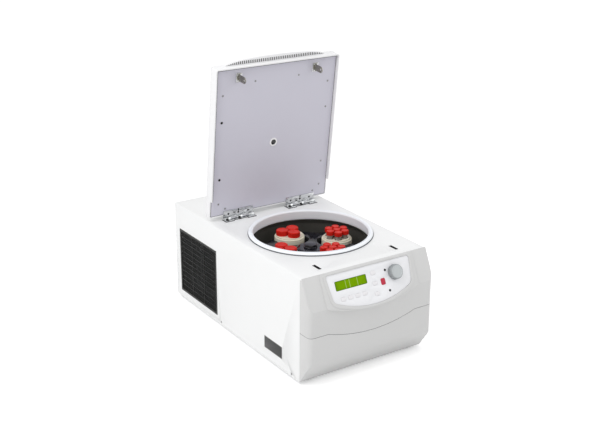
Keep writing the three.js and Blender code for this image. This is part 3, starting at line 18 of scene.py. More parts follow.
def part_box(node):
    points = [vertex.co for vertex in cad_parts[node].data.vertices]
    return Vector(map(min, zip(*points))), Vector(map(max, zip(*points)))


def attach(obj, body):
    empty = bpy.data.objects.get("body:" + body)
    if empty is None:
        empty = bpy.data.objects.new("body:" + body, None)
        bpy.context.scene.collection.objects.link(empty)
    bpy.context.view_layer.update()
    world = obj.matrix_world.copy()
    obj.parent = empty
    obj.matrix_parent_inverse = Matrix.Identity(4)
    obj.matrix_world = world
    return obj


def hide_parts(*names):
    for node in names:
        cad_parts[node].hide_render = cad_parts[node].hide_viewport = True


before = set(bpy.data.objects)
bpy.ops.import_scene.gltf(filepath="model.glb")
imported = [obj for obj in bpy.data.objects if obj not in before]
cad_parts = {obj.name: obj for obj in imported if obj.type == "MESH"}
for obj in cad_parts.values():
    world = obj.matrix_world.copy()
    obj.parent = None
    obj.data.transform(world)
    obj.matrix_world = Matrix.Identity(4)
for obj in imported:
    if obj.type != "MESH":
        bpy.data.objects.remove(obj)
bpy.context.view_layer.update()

LOG = logging.getLogger("centrifuge")
MM = 0.001

Point = Sequence[float]
Piece = bpy.types.Object
Socket = bpy.types.NodeSocket


class Axis(Enum):
    """The direction in which an outline is pulled or a rod lies."""

    X = "x"
    Y = "y"
    Z = "z"

    def point(self, a: float, b: float, along: float) -> tuple[float, float, float]:
        """A point of an outline that is pulled along the axis.

        Args:
            a: First coordinate across the axis.
            b: Second coordinate.
            along: Place along the axis.

        Returns:
            The point.
        """
        if self is Axis.X:
            return (along, a, b)
        if self is Axis.Y:
            return (a, along, b)
        return (a, b, along)


def turn(degrees: float, axis: str = "Z") -> Matrix:
    """A turn about one of the frame's axes."""
    return Matrix.Rotation(math.radians(degrees), 4, axis)


def shift(x: float = 0.0, y: float = 0.0, z: float = 0.0) -> Matrix:
    """A move by millimetres."""
    return Matrix.Translation(Vector((x, y, z)) * MM)


def polar(radius: float, angle: float) -> tuple[float, float]:
    """The point of a circle round the origin at an angle in radians."""
    return (radius * math.cos(angle), radius * math.sin(angle))


def ring(radius: float, count: int, first: float = 0.0) -> list[tuple[float, float]]:
    """Points spread evenly on a circle, the first at an angle in degrees."""
    return [polar(radius, math.radians(first + 360 / count * k)) for k in range(count)]


BOWL_Y = -60.859
SLOPE_FOOT = (0.0, -316.159, 302.5)
SLOPE_ANGLE = 65.0
CHAMBER = shift(y=BOWL_Y)
ROTOR = CHAMBER @ turn(5)
SLOPE = shift(*SLOPE_FOOT) @ turn(SLOPE_ANGLE, "X")
LID = shift(0, 149.641, 307) @ turn(-83, "X")


def deselect() -> None:
    """Clears the selection, which holds the CAD nodes after loading."""
    bpy.ops.object.select_all(action="DESELECT")


def activate(piece: Piece) -> None:
    """Selects one piece alone and makes it the active one.

    Args:
        piece: The piece.
    """
    deselect()
    piece.select_set(True)
    bpy.context.view_layer.objects.active = piece


@contextmanager
def editing(piece: Piece) -> Iterator[None]:
    """Opens a piece in edit mode.

    Args:
        piece: The mesh object to edit.
    """
    activate(piece)
    bpy.ops.object.mode_set(mode="EDIT")
    bpy.ops.mesh.select_all(action="SELECT")
    yield
    bpy.ops.object.mode_set(mode="OBJECT")


def place(piece: Piece, matrix: Matrix) -> Piece:
    """Moves a piece by a matrix and puts that place into its mesh.

    Args:
        piece: The piece, with its object at the origin.
        matrix: The move in metres.

    Returns:
        The same piece.
    """
    activate(piece)
    piece.matrix_world = matrix
    bpy.ops.object.transform_apply(location=True, rotation=True, scale=True)
    return piece


def duplicate(piece: Piece, name: str, matrix: Matrix) -> Piece:
    """Copies a piece with its own mesh.

    Args:
        piece: The piece to copy.
        name: The copy's name.
        matrix: The copy's move from the first piece's place.

    Returns:
        The copy.
    """
    activate(piece)
    bpy.ops.object.duplicate(linked=False)
    copy = bpy.context.object
    copy.name = name
    return place(copy, matrix)


def join(pieces: Sequence[Piece], name: str) -> Piece:
    """Joins pieces into the first one.

    Args:
        pieces: The pieces, the first of which is kept.
        name: The name of the whole.

    Returns:
        The joined piece.
    """
    activate(pieces[0])
    for piece in pieces[1:]:
        piece.select_set(True)
    if len(pieces) > 1:
        bpy.ops.object.join()
    pieces[0].name = name
    return pieces[0]


def trace(name: str, points: Sequence[Point], face: bool = True) -> Piece:
    """Draws a chain of edges through points, and fills it on request.

    Args:
        name: The piece's name.
        points: Points in millimetres.
        face: Whether the chain is closed with a face.

    Returns:
        The drawn piece.
    """
    spots = [Vector(point) * MM for point in points]
    deselect()
    bpy.ops.mesh.primitive_plane_add(size=MM, location=spots[0])
    piece = bpy.context.object
    piece.name = name
    bpy.ops.object.transform_apply(location=True, rotation=True, scale=True)
    with editing(piece):
        bpy.ops.mesh.merge(type="CENTER")
        for here, there in zip(spots, spots[1:]):
            bpy.ops.mesh.extrude_vertices_move(TRANSFORM_OT_translate={"value": there - here})
        bpy.ops.mesh.select_all(action="SELECT")
        if face:
            bpy.ops.mesh.edge_face_add()
    return piece


def tidy(piece: Piece) -> Piece:
    """Merges doubled points and turns all faces outwards.

    Args:
        piece: The piece to clean.

    Returns:
        The same piece.
    """
    with editing(piece):
        bpy.ops.mesh.remove_doubles(threshold=1e-6)
        bpy.ops.mesh.normals_make_consistent(inside=False)
    return piece


def prism(name: str, outline: Iterable[Point], low: float, high: float, axis: Axis = Axis.Z) -> Piece:
    """Pulls a closed outline straight along an axis.

    Args:
        name: The piece's name.
        outline: Points of the outline, two coordinates each.
        low: Where the body starts along the axis.
        high: Where it ends.
        axis: The direction of the pull.

    Returns:
        The closed body.
    """
    piece = trace(name, [axis.point(a, b, low) for a, b in outline])
    with editing(piece):
        step = Vector(axis.point(0, 0, high - low)) * MM
        bpy.ops.mesh.extrude_region_move(TRANSFORM_OT_translate={"value": step})
    return tidy(piece)


def lathe(name: str, profile: Iterable[Point], steps: int = 64, closed: bool = False) -> Piece:
    """Spins a profile of radius and height about Z.

    Args:
        name: The piece's name.
        profile: Points of radius and height.
        steps: Number of steps round the axis.
        closed: Whether the profile is a closed loop off the axis.

    Returns:
        The closed body.
    """
    points = [(radius, 0.0, height) for radius, height in profile]
    if closed:
        points.append(points[0])
    piece = trace(name, points, face=False)
    with editing(piece):
        bpy.ops.mesh.remove_doubles(threshold=1e-7)
        bpy.ops.mesh.spin(steps=steps, angle=2 * math.pi, center=(0, 0, 0), axis=(0, 0, 1))
    return tidy(piece)


def rounded(corners: Sequence[Point], steps: int = 5) -> list[tuple[float, float]]:
    """Rounds the corners of a closed outline.

    Args:
        corners: Corners as x, y and, where rounded, the radius.
        steps: Number of chords in each rounding.

    Returns:
        The outline's points.
    """
    points = []
    count = len(corners)
    for index, corner in enumerate(corners):
        here = Vector(corner[:2])
        radius = corner[2] if len(corner) > 2 else 0.0
        back = Vector(corners[index - 1][:2]) - here
        ahead = Vector(corners[(index + 1) % count][:2]) - here
        if radius <= 0:
            points.append(tuple(here))
            continue
        back.normalize()
        ahead.normalize()
        half = back.angle(ahead) / 2
        reach = radius / math.tan(half)
        middle = here + (back + ahead).normalized() * (radius / math.sin(half))
        start = here + back * reach - middle
        end = here + ahead * reach - middle
        sweep = start.angle_signed(end)
        for step in range(steps + 1):
            angle = -sweep * step / steps
            spot = Matrix.Rotation(angle, 2) @ start
            points.append(tuple(middle + spot))
    return points


def rectangle(x0: float, x1: float, y0: float, y1: float, radius: float, steps: int = 4) -> list:
    """The outline of a rectangle with rounded corners."""
    return rounded([(x0, y0, radius), (x1, y0, radius), (x1, y1, radius), (x0, y1, radius)], steps)


def soften(piece: Piece, width: float, segments: int = 2, angle: float = 32) -> Piece:
    """Rounds a piece's sharp edges.

    Args:
        piece: The piece.
        width: Width of the rounding.
        segments: Number of faces across it.
        angle: Smallest angle in degrees of an edge that is rounded.

    Returns:
        The same piece.
    """
    activate(piece)
    bevel = piece.modifiers.new("edge", "BEVEL")
    bevel.width = width * MM
    bevel.segments = segments
    bevel.limit_method = "ANGLE"
    bevel.angle_limit = math.radians(angle)
    bpy.ops.object.modifier_apply(modifier=bevel.name)
    return piece


def block(name: str, low: Point, high: Point, edge: float = 0.0, segments: int = 2) -> Piece:
    """A box between two corners with softened edges.

    Args:
        name: The piece's name.
        low: Lowest corner.
        high: Highest corner.
        edge: Width of the edges' rounding.
        segments: Faces across the rounding.

    Returns:
        The box.
    """
    low_corner, high_corner = Vector(low), Vector(high)
    deselect()
    bpy.ops.mesh.primitive_cube_add(
        size=1, location=(low_corner + high_corner) * MM / 2, scale=(high_corner - low_corner) * MM)
    piece = bpy.context.object
    piece.name = name
    bpy.ops.object.transform_apply(location=True, rotation=True, scale=True)
    return soften(piece, edge, segments) if edge else piece


def rod(name: str, radius: float, low: float, high: float, axis: Axis = Axis.Z, a: float = 0.0,
        b: float = 0.0, steps: int = 32, edge: float = 0.0) -> Piece:
    """A round bar along an axis.

    Args:
        name: The piece's name.
        radius: Its radius.
        low: Where it starts along the axis.
        high: Where it ends.
        axis: The direction in which it lies.
        a: First coordinate of its centre line.
        b: Second coordinate.
        steps: Number of steps round it.
        edge: Chamfer at both ends.

    Returns:
        The bar.
    """
    profile = [(0, low), (radius - edge, low), (radius, low + edge), (radius, high - edge),
               (radius - edge, high), (0, high)]
    piece = lathe(name, profile, steps)
    if axis is Axis.X:
        piece = place(piece, Matrix(((0, 0, 1, 0), (1, 0, 0, a * MM), (0, 1, 0, b * MM), (0, 0, 0, 1))))
    elif axis is Axis.Y:
        piece = place(piece, Matrix(((0, 1, 0, a * MM), (0, 0, 1, 0), (1, 0, 0, b * MM), (0, 0, 0, 1))))
    else:
        piece = place(piece, shift(a, b, 0))
    return piece


class Cut(Enum):
    """How a tool body acts on a piece."""

    AWAY = "DIFFERENCE"
    ADD = "UNION"
    WITHIN = "INTERSECT"


def carve(piece: Piece, *tools: Piece, cut: Cut = Cut.AWAY) -> Piece:
    """Cuts, adds or intersects tool bodies, which are used up.

    Args:
        piece: The piece that is kept.
        tools: Bodies that don't touch each other.
        cut: What they do.

    Returns:
        The same piece.
    """
    tool = join(tools, "tool")
    activate(piece)
    boolean = piece.modifiers.new("cut", "BOOLEAN")
    boolean.operation = cut.value
    boolean.solver = "EXACT"
    boolean.object = tool
    bpy.ops.object.modifier_apply(modifier=boolean.name)
    bpy.data.objects.remove(tool)
    return piece


def refined_copy(node: str, name: str, width: float, segments: int = 2, angle: float = 32) -> Piece:
    """A merged copy of a CAD node's mesh with rounded edges.

    Args:
        node: The node's name.
        name: The copy's name.
        width: Width of the rounding.
        segments: Faces across it.
        angle: Smallest angle in degrees of an edge that is rounded.

    Returns:
        The copy.
    """
    piece = bpy.data.objects.new(name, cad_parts[node].data.copy())
    bpy.context.scene.collection.objects.link(piece)
    with editing(piece):
        bpy.ops.mesh.remove_doubles(threshold=2e-6)
        bpy.ops.mesh.dissolve_limited(angle_limit=math.radians(0.4))
    return soften(piece, width, segments, angle) if width else piece


class Tree:
    """A node tree with short ways to add and join nodes."""

    def __init__(self, tree: bpy.types.NodeTree) -> None:
        """Takes the tree to work on."""
        self.tree = tree

    def add(self, kind: str, inputs: Optional[dict] = None, **settings: object) -> bpy.types.Node:
        """Adds a node.

        Args:
            kind: The node's type name after ShaderNode.
            inputs: Values of its sockets by name or number.
            settings: Its own settings.

        Returns:
            The node.
        """
        node = self.tree.nodes.new("ShaderNode" + kind)
        for key, value in settings.items():
            setattr(node, key, value)
        for key, value in (inputs or {}).items():
            node.inputs[key].default_value = value
        return node

    def link(self, output: Socket, target: Socket) -> None:
        """Joins an output to an input."""
        self.tree.links.new(output, target)

    def maths(self, operation: str, *values: object) -> Socket:
        """Adds a Math node.

        Args:
            operation: The node's operation.
            values: Sockets or numbers for its inputs.

        Returns:
            Its output.
        """
        node = self.add("Math", operation=operation)
        for index, value in enumerate(values):
            if isinstance(value, Socket):
                self.link(value, node.inputs[index])
            else:
                node.inputs[index].default_value = value
        return node.outputs[0]

    def noise(self, vector: Socket, scale: object, detail: float = 2.0,
              roughness: float = 0.5) -> Socket:
        """Adds a noise texture.

        Args:
            vector: Where it is read.
            scale: Socket or number.
            detail: Number of finer layers.
            roughness: Weight of the finer layers.

        Returns:
            Its value.
        """
        node = self.add("TexNoise", {"Detail": detail, "Roughness": roughness})
        self.link(vector, node.inputs["Vector"])
        if isinstance(scale, Socket):
            self.link(scale, node.inputs["Scale"])
        else:
            node.inputs["Scale"].default_value = scale
        return node.outputs[0]


class Grain(Enum):
    """Surface grains, each a shared node group with a height and a tone."""

    MOULDED = "moulded_texture"
    PAINTED = "paint_skin"
    SPUN = "spun_rings"
    BRUSHED = "brushed_lines"
    CAST = "cast_skin"
    FOAM = "foam_cells"
    POLISHED = "polished_skin"

    def group(self) -> bpy.types.NodeTree:
        """The shared node group, built when it is first asked for.

        Returns:
            The group's tree.
        """
        known = bpy.data.node_groups.get(self.value)
        if known:
            return known
        group = bpy.data.node_groups.new(self.value, "ShaderNodeTree")
        for name, way, kind in (("Vector", "INPUT", "Vector"), ("Size", "INPUT", "Float"),
                                ("Patch", "INPUT", "Float"), ("Height", "OUTPUT", "Float"),
                                ("Tone", "OUTPUT", "Float")):
            group.interface.new_socket(name=name, in_out=way, socket_type="NodeSocket" + kind)
        tree = Tree(group)
        start = group.nodes.new("NodeGroupInput")
        end = group.nodes.new("NodeGroupOutput")
        vector = start.outputs["Vector"]
        fine = tree.maths("DIVIDE", 1.0, start.outputs["Size"])
        broad = tree.maths("DIVIDE", 1.0, start.outputs["Patch"])
        tree.link(self.height(tree, vector, fine), end.inputs["Height"])
        cloud = tree.noise(vector, broad, 3.0, 0.55)
        speck = tree.noise(vector, fine, 1.0, 0.5)
        mixed = tree.maths("MULTIPLY_ADD", speck, 0.25, tree.maths("MULTIPLY", cloud, 0.75))
        tree.link(mixed, end.inputs["Tone"])
        return group

    def height(self, tree: Tree, vector: Socket, fine: Socket) -> Socket:
        """The grain's own relief.

        Args:
            tree: The group's tree.
            vector: Where the pattern is read.
            fine: Repeats to the metre.

        Returns:
            The height from nought to one.
        """
        if self is Grain.SPUN:
            flat = tree.add("VectorMath", {1: (1, 1, 0)}, operation="MULTIPLY")
            tree.link(vector, flat.inputs[0])
            length = tree.add("VectorMath", operation="LENGTH")
            tree.link(flat.outputs[0], length.inputs[0])
            rings = tree.add("TexNoise", {"Detail": 3.0, "Roughness": 0.7}, noise_dimensions="1D")
            tree.link(length.outputs["Value"], rings.inputs["W"])
            tree.link(fine, rings.inputs["Scale"])
            return rings.outputs[0]
        if self is Grain.BRUSHED:
            stretch = tree.add("Mapping", {"Scale": (0.03, 1, 1)})
            tree.link(vector, stretch.inputs["Vector"])
            return tree.noise(stretch.outputs[0], fine, 3.0, 0.6)
        if self is Grain.FOAM:
            cells = tree.add("TexVoronoi")
            tree.link(vector, cells.inputs["Vector"])
            tree.link(fine, cells.inputs["Scale"])
            return cells.outputs["Distance"]
        layers = {Grain.CAST: (6.0, 0.75), Grain.MOULDED: (2.0, 0.6)}
        return tree.noise(vector, fine, *layers.get(self, (0.0, 0.5)))


@dataclass(frozen=True)
class Finish:
    """A surface finish with its grain, in linear colours and millimetres."""

    name: str
    color: tuple[float, float, float]
    roughness: float
    metallic: float = 0.0
    grain: Grain = Grain.MOULDED
    size: float = 1.2
    depth: float = 0.02
    patch: float = 90.0
    tone: float = 0.02
    wander: float = 0.06
    coat: float = 0.0
    specular: float = 0.5
    centre: tuple[float, float, float] = (0.0, 0.0, 0.0)
    tilt: tuple[float, float, float] = (0.0, 0.0, 0.0)

    def material(self) -> bpy.types.Material:
        """The finish's material, built once.

        Returns:
            The material.
        """
        known = bpy.data.materials.get(self.name)
        if known:
            return known
        material = bpy.data.materials.new(self.name)
        material.use_nodes = True
        material.node_tree.nodes.clear()
        tree = Tree(material.node_tree)
        shader = tree.add("BsdfPrincipled", {"Metallic": self.metallic, "Coat Weight": self.coat,
                                             "Coat Roughness": 0.08, "Specular IOR Level": self.specular})
        output = tree.add("OutputMaterial")
        tree.link(shader.outputs[0], output.inputs["Surface"])
        where = tree.add("TexCoord")
        mapping = tree.add("Mapping", {"Location": self.offset(), "Rotation": Euler(self.tilt)})
        tree.link(where.outputs["Object"], mapping.inputs["Vector"])
        grain = tree.add("Group", node_tree=self.grain.group())
        grain.inputs["Size"].default_value = self.size * MM
        grain.inputs["Patch"].default_value = self.patch * MM
        tree.link(mapping.outputs[0], grain.inputs["Vector"])
        tree.link(self.shade(tree, mapping.outputs[0], grain.outputs["Tone"]), shader.inputs["Base Color"])
        gloss = tree.add("MapRange", {"To Min": max(self.roughness - self.wander, 0.02),
                                      "To Max": min(self.roughness + self.wander, 1.0)})
        tree.link(grain.outputs["Tone"], gloss.inputs["Value"])
        tree.link(gloss.outputs[0], shader.inputs["Roughness"])
        bump = tree.add("Bump", {"Strength": 0.5, "Distance": self.depth * MM})
        tree.link(grain.outputs["Height"], bump.inputs["Height"])
        tree.link(bump.outputs[0], shader.inputs["Normal"])
        return material

    def offset(self) -> Vector:
        """The Mapping node's move that puts the finish's centre at nought."""
        return -(Euler(self.tilt).to_matrix() @ Vector(self.centre)) * MM

    def shade(self, tree: Tree, vector: Socket, tone: Socket) -> Socket:
        """The surface colour.

        Args:
            tree: The material's tree.
            vector: Place on the piece, centred and turned.
            tone: The grain's tone.

        Returns:
            The colour.
        """
        return self.blend(tree, tone, self.scaled(1 - self.tone), self.scaled(1 + self.tone))

    def scaled(self, share: float) -> tuple[float, float, float, float]:
        """The finish's colour made lighter or darker, never past white."""
        return (*(min(channel * share, 1.0) for channel in self.color), 1.0)

    @staticmethod
    def blend(tree: Tree, factor: Socket, first: object, second: object) -> Socket:
        """Mixes two colours.

        Args:
            tree: The material's tree.
            factor: Share of the second colour.
            first: Colour or socket.
            second: Colour or socket.

        Returns:
            The mixed colour.
        """
        mix = tree.add("Mix", data_type="RGBA")
        tree.link(factor, mix.inputs[0])
        for socket, value in ((mix.inputs[6], first), (mix.inputs[7], second)):
            if isinstance(value, Socket):
                tree.link(value, socket)
            else:
                socket.default_value = value
        return mix.outputs[2]


@dataclass(frozen=True)
class DisplayFinish(Finish):
    """A lit character display: pale upright bars, darker towards its rim."""

    bars: tuple[float, ...] = (-78.0, -65.5, -41.0)
    bar_half: float = 0.9
    bar_color: tuple[float, float, float, float] = (0.62, 0.75, 0.3, 1.0)
    bar_share: float = 0.5
    middle: tuple[float, float] = (-61.25, -40.75)
    half: tuple[float, float] = (49.25, 12.25)
    rim_color: tuple[float, float, float, float] = (0.03, 0.06, 0.005, 1.0)
    rim_share: float = 0.65
    rim_powers: tuple[float, float] = (14.0, 7.0)

    def shade(self, tree: Tree, vector: Socket, tone: Socket) -> Socket:
        """The display's colour.

        Args:
            tree: The material's tree.
            vector: Place on the slope.
            tone: The grain's tone.

        Returns:
            The colour.
        """
        parts = tree.add("SeparateXYZ")
        tree.link(vector, parts.inputs[0])
        across, up = parts.outputs[0], parts.outputs[1]
        base = self.blend(tree, tone, self.scaled(0.8), self.scaled(1.15))
        stripes = None
        for bar in self.bars:
            near = tree.maths("COMPARE", across, bar * MM, self.bar_half * MM)
            stripes = near if stripes is None else tree.maths("MAXIMUM", stripes, near)
        striped = self.blend(tree, tree.maths("MULTIPLY", stripes, self.bar_share), base, self.bar_color)
        edges = []
        for value, middle, half, power in zip((across, up), self.middle, self.half, self.rim_powers):
            off = tree.maths("ABSOLUTE", tree.maths("SUBTRACT", value, middle * MM))
            edges.append(tree.maths("POWER", tree.maths("DIVIDE", off, half * MM), power))
        rim = tree.maths("MINIMUM", tree.maths("MAXIMUM", *edges), 1.0)
        return self.blend(tree, tree.maths("MULTIPLY", rim, self.rim_share), striped, self.rim_color)


SHELL = Finish("shell_powder_coat", (0.88, 0.885, 0.885), 0.42, grain=Grain.PAINTED, size=1.6,
               depth=0.03, patch=140, tone=0.012)
FRONT = Finish("front_moulding", (0.655, 0.655, 0.652), 0.46, size=0.9, depth=0.03, patch=110, tone=0.015)
LID_SHELL = Finish("lid_moulding", (0.87, 0.87, 0.88), 0.44, size=0.9, depth=0.025, patch=120, tone=0.012)
LID_PLATE = Finish("lid_plate_lacquer", (0.61, 0.6, 0.68), 0.38, grain=Grain.PAINTED, size=2.2,
                   depth=0.03, patch=160, tone=0.03, wander=0.04)
PORT = Finish("dark_port", (0.02, 0.021, 0.023), 0.06, grain=Grain.POLISHED, size=6, depth=0.01,
              tone=0.08, wander=0.02)
CHROME = Finish("bright_plate", (0.62, 0.63, 0.64), 0.16, 1.0, Grain.BRUSHED, 0.5, 0.004, 25, 0.06, 0.05)
SCREW = Finish("screw_steel", (0.32, 0.32, 0.32), 0.3, 1.0, Grain.SPUN, 0.4, 0.004, 8, 0.12, 0.08)
HOOK = Finish("sprung_steel", (0.3, 0.29, 0.26), 0.26, 1.0, Grain.BRUSHED, 0.5, 0.006, 12, 0.15, 0.08)
PAN = Finish("zinc_plate", (0.48, 0.49, 0.5), 0.42, 0.9, Grain.PAINTED, 9, 0.01, 40, 0.1, 0.1)
# Black mouldings; also painted shade for the dark liners, pads and strips that stand in for shade.
BLACK = Finish("black_moulding_and_painted_shade", (0.02, 0.02, 0.021), 0.52, size=0.8, depth=0.04, patch=50, tone=0.15,
               specular=0.3)
GRILLE = Finish("black_grille", (0.022, 0.022, 0.021), 0.5, size=0.8, depth=0.03, patch=60, tone=0.2,
                specular=0.25)
PLATE = Finish("dark_plate_enamel", (0.042, 0.042, 0.042), 0.4, grain=Grain.PAINTED, size=1.2,
               depth=0.01, patch=30, tone=0.1, specular=0.3)
PLATE_EDGE = Finish("plate_bright_edge", (0.5, 0.5, 0.49), 0.35, 0.8, Grain.BRUSHED, 0.6, 0.005, 20, 0.05)
FOOT = Finish("foot_rubber", (0.02, 0.045, 0.035), 0.8, grain=Grain.CAST, size=1.5, depth=0.08,
              patch=20, tone=0.2)
RUBBER = Finish("mount_rubber", (0.016, 0.017, 0.018), 0.82, grain=Grain.CAST, size=1.5, depth=0.06,
                patch=20, tone=0.2)
SEAL = Finish("silicone_seal", (0.93, 0.955, 1.0), 0.5, grain=Grain.POLISHED, size=2, depth=0.02,
              patch=50, tone=0.015)
# Painted shadow: a dark finish for pieces that stand in for the shade in gaps, seams and under lips.
SHADOW_BEAD = Finish("painted_shadow_bead", (0.09, 0.095, 0.11), 0.6, grain=Grain.POLISHED, size=2, depth=0.02,
              patch=30, tone=0.1)
BOWL = Finish("spun_bowl", (0.13, 0.127, 0.115), 0.34, 0.45, Grain.SPUN, 1.1, 0.02, 60, 0.12, 0.08,
              centre=(0, BOWL_Y, 0))
COPPER = Finish("bare_copper", (0.55, 0.24, 0.11), 0.3, 1.0, Grain.PAINTED, 3, 0.01, 18, 0.15, 0.1)
FOAM = Finish("rigid_foam", (0.68, 0.61, 0.38), 0.9, grain=Grain.FOAM, size=2.4, depth=0.5, patch=60,
              tone=0.12)
CASE = Finish("cast_case", (0.2, 0.21, 0.22), 0.55, 0.7, Grain.CAST, 2.2, 0.15, 30, 0.12)
BLACK_CASE = Finish("black_enamel", (0.015, 0.016, 0.017), 0.36, 0.0, Grain.PAINTED, 3, 0.05, 50, 0.15)
SHAFT = Finish("ground_steel", (0.42, 0.43, 0.45), 0.24, 1.0, Grain.SPUN, 0.5, 0.004, 20, 0.08,
               centre=(0, BOWL_Y, 0))
ROTOR_BLACK = Finish("anodised_rotor", (0.012, 0.012, 0.018), 0.14, 0.1, Grain.SPUN, 0.9, 0.006, 40,
                     0.18, 0.04, coat=0.2, centre=(0, BOWL_Y, 0))
CREAM = Finish("cream_enamel", (0.74, 0.7, 0.57), 0.3, grain=Grain.PAINTED, size=2.0, depth=0.02,
               patch=30, tone=0.04)
RED = Finish("red_cap", (0.62, 0.018, 0.01), 0.36, size=0.7, depth=0.02, patch=16, tone=0.12,
             specular=0.15)
TUBE = Finish("tube_wall", (0.3, 0.27, 0.24), 0.2, grain=Grain.POLISHED, size=3, depth=0.01, patch=12,
              tone=0.05)
OVERLAY = Finish("overlay_film", (0.88, 0.885, 0.91), 0.34, grain=Grain.PAINTED, size=0.7,
                 depth=0.006, patch=60, tone=0.012)
LCD = DisplayFinish("lit_display", (0.19, 0.375, 0.0), 0.4, grain=Grain.POLISHED, size=4, depth=0.004,
                    patch=12, tone=0.1, wander=0.03, specular=0.03, centre=SLOPE_FOOT,
                    tilt=(-math.radians(SLOPE_ANGLE), 0, 0))
KEY = Finish("pale_key", (0.85, 0.84, 0.86), 0.3, grain=Grain.PAINTED, size=0.6, depth=0.006, patch=10)
KEY_RED = Finish("red_key", (0.52, 0.012, 0.045), 0.3, grain=Grain.PAINTED, size=0.6, depth=0.006,
                 patch=10, tone=0.08)
KNOB = Finish("knob_satin", (0.5, 0.53, 0.54), 0.36, 0.25, Grain.SPUN, 0.5, 0.008, 20, 0.05, 0.05,
              centre=(77.5, -338.5, 265.5), tilt=(-math.radians(SLOPE_ANGLE), 0, 0))
# Painted shade: a darker copy of the knob's grey for its side.
KNOB_SHADED_SIDE = Finish("knob_side_painted_shade", (0.3, 0.32, 0.33), 0.4, 0.2, size=0.5, depth=0.01, patch=20, tone=0.05)
BOARD = Finish("circuit_board", (0.03, 0.14, 0.04), 0.4, grain=Grain.CAST, size=4, depth=0.05,
               patch=12, tone=0.3)
FINS = Finish("plain_fins", (0.4, 0.41, 0.43), 0.4, 0.9, Grain.BRUSHED, 0.8, 0.01, 30, 0.1)
# Dark lenses; also painted shade for the strip behind the hinge notches.
DARK_LENS_AND_SHADE = Finish("dark_lens_and_painted_shade", (0.008, 0.008, 0.009), 0.15, grain=Grain.POLISHED, size=2, depth=0.004,
             patch=5, tone=0.1)


def dress(piece: Piece, finish: Finish, body: str,
          replaces: Sequence[str] = (), angle: float = 30) -> Piece:
    """Gives a piece its finish and its body.

    Args:
        piece: The finished piece.
        finish: Its finish.
        body: The body that it rides on.
        replaces: CAD nodes that it stands for.
        angle: Largest angle in degrees that is shaded smooth.

    Returns:
        The same piece.
    """
    activate(piece)
    bpy.ops.object.shade_smooth_by_angle(angle=math.radians(angle))
    piece.data.materials.clear()
    piece.data.materials.append(finish.material())
    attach(piece, body)
    if replaces:
        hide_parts(*replaces)
    LOG.info("%s on %s, %s, %d faces", piece.name, body, finish.name, len(piece.data.polygons))
    return piece


def dress_node(node: str, finish: Finish) -> None:
    """Gives a CAD node that stays shown its finish.

    Args:
        node: The node's name.
        finish: Its finish.
    """
    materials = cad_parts[node].data.materials
    materials.clear()
    materials.append(finish.material())
    LOG.info("%s keeps its mesh, %s", node, finish.name)


def fit(piece: Piece, spot: Matrix, finish: Finish, body: str,
        replaces: Sequence[str] = (), angle: float = 30) -> Piece:
    """Places a piece and dresses it, with the values that place and dress take."""
    return dress(place(piece, spot), finish, body, replaces, angle)


def reface(node: str, name: str, width: float, finish: Finish, body: str, segments: int = 2,
           sharp: float = 32, angle: float = 30) -> Piece:
    """Dresses a copy of a CAD node with rounded edges, which stands for it.

    Args:
        node: The node's name.
        name: The copy's name.
        width: Width of the rounding.
        finish: The copy's finish.
        body: The body that it rides on.
        segments: Faces across the rounding.
        sharp: Smallest angle in degrees of an edge that is rounded.
        angle: Largest angle in degrees that is shaded smooth.

    Returns:
        The copy.
    """
    return dress(refined_copy(node, name, width, segments, sharp), finish, body, [node], angle)


@dataclass
class ScrewHead:
    """A flush cross-head screw, modelled once at the origin with its face up."""

    radius: float = 3.4
    height: float = 1.4
    slot_half: float = 0.45
    steps: int = 24

    def build(self) -> Piece:
        """Models the head.

        Returns:
            The head, to be copied.
        """
        r, h = self.radius, self.height
        head = lathe("screw_head", [(0, 0), (r * 0.8, 0), (r, h * 0.35), (r * 0.92, h * 0.75),
                                    (r * 0.6, h), (0, h)], self.steps)
        reach = r * 0.62
        for x, y in ((reach, self.slot_half), (self.slot_half, reach)):
            carve(head, block("tool", (-x, -y, h * 0.4), (x, y, h + 1)))
        return head


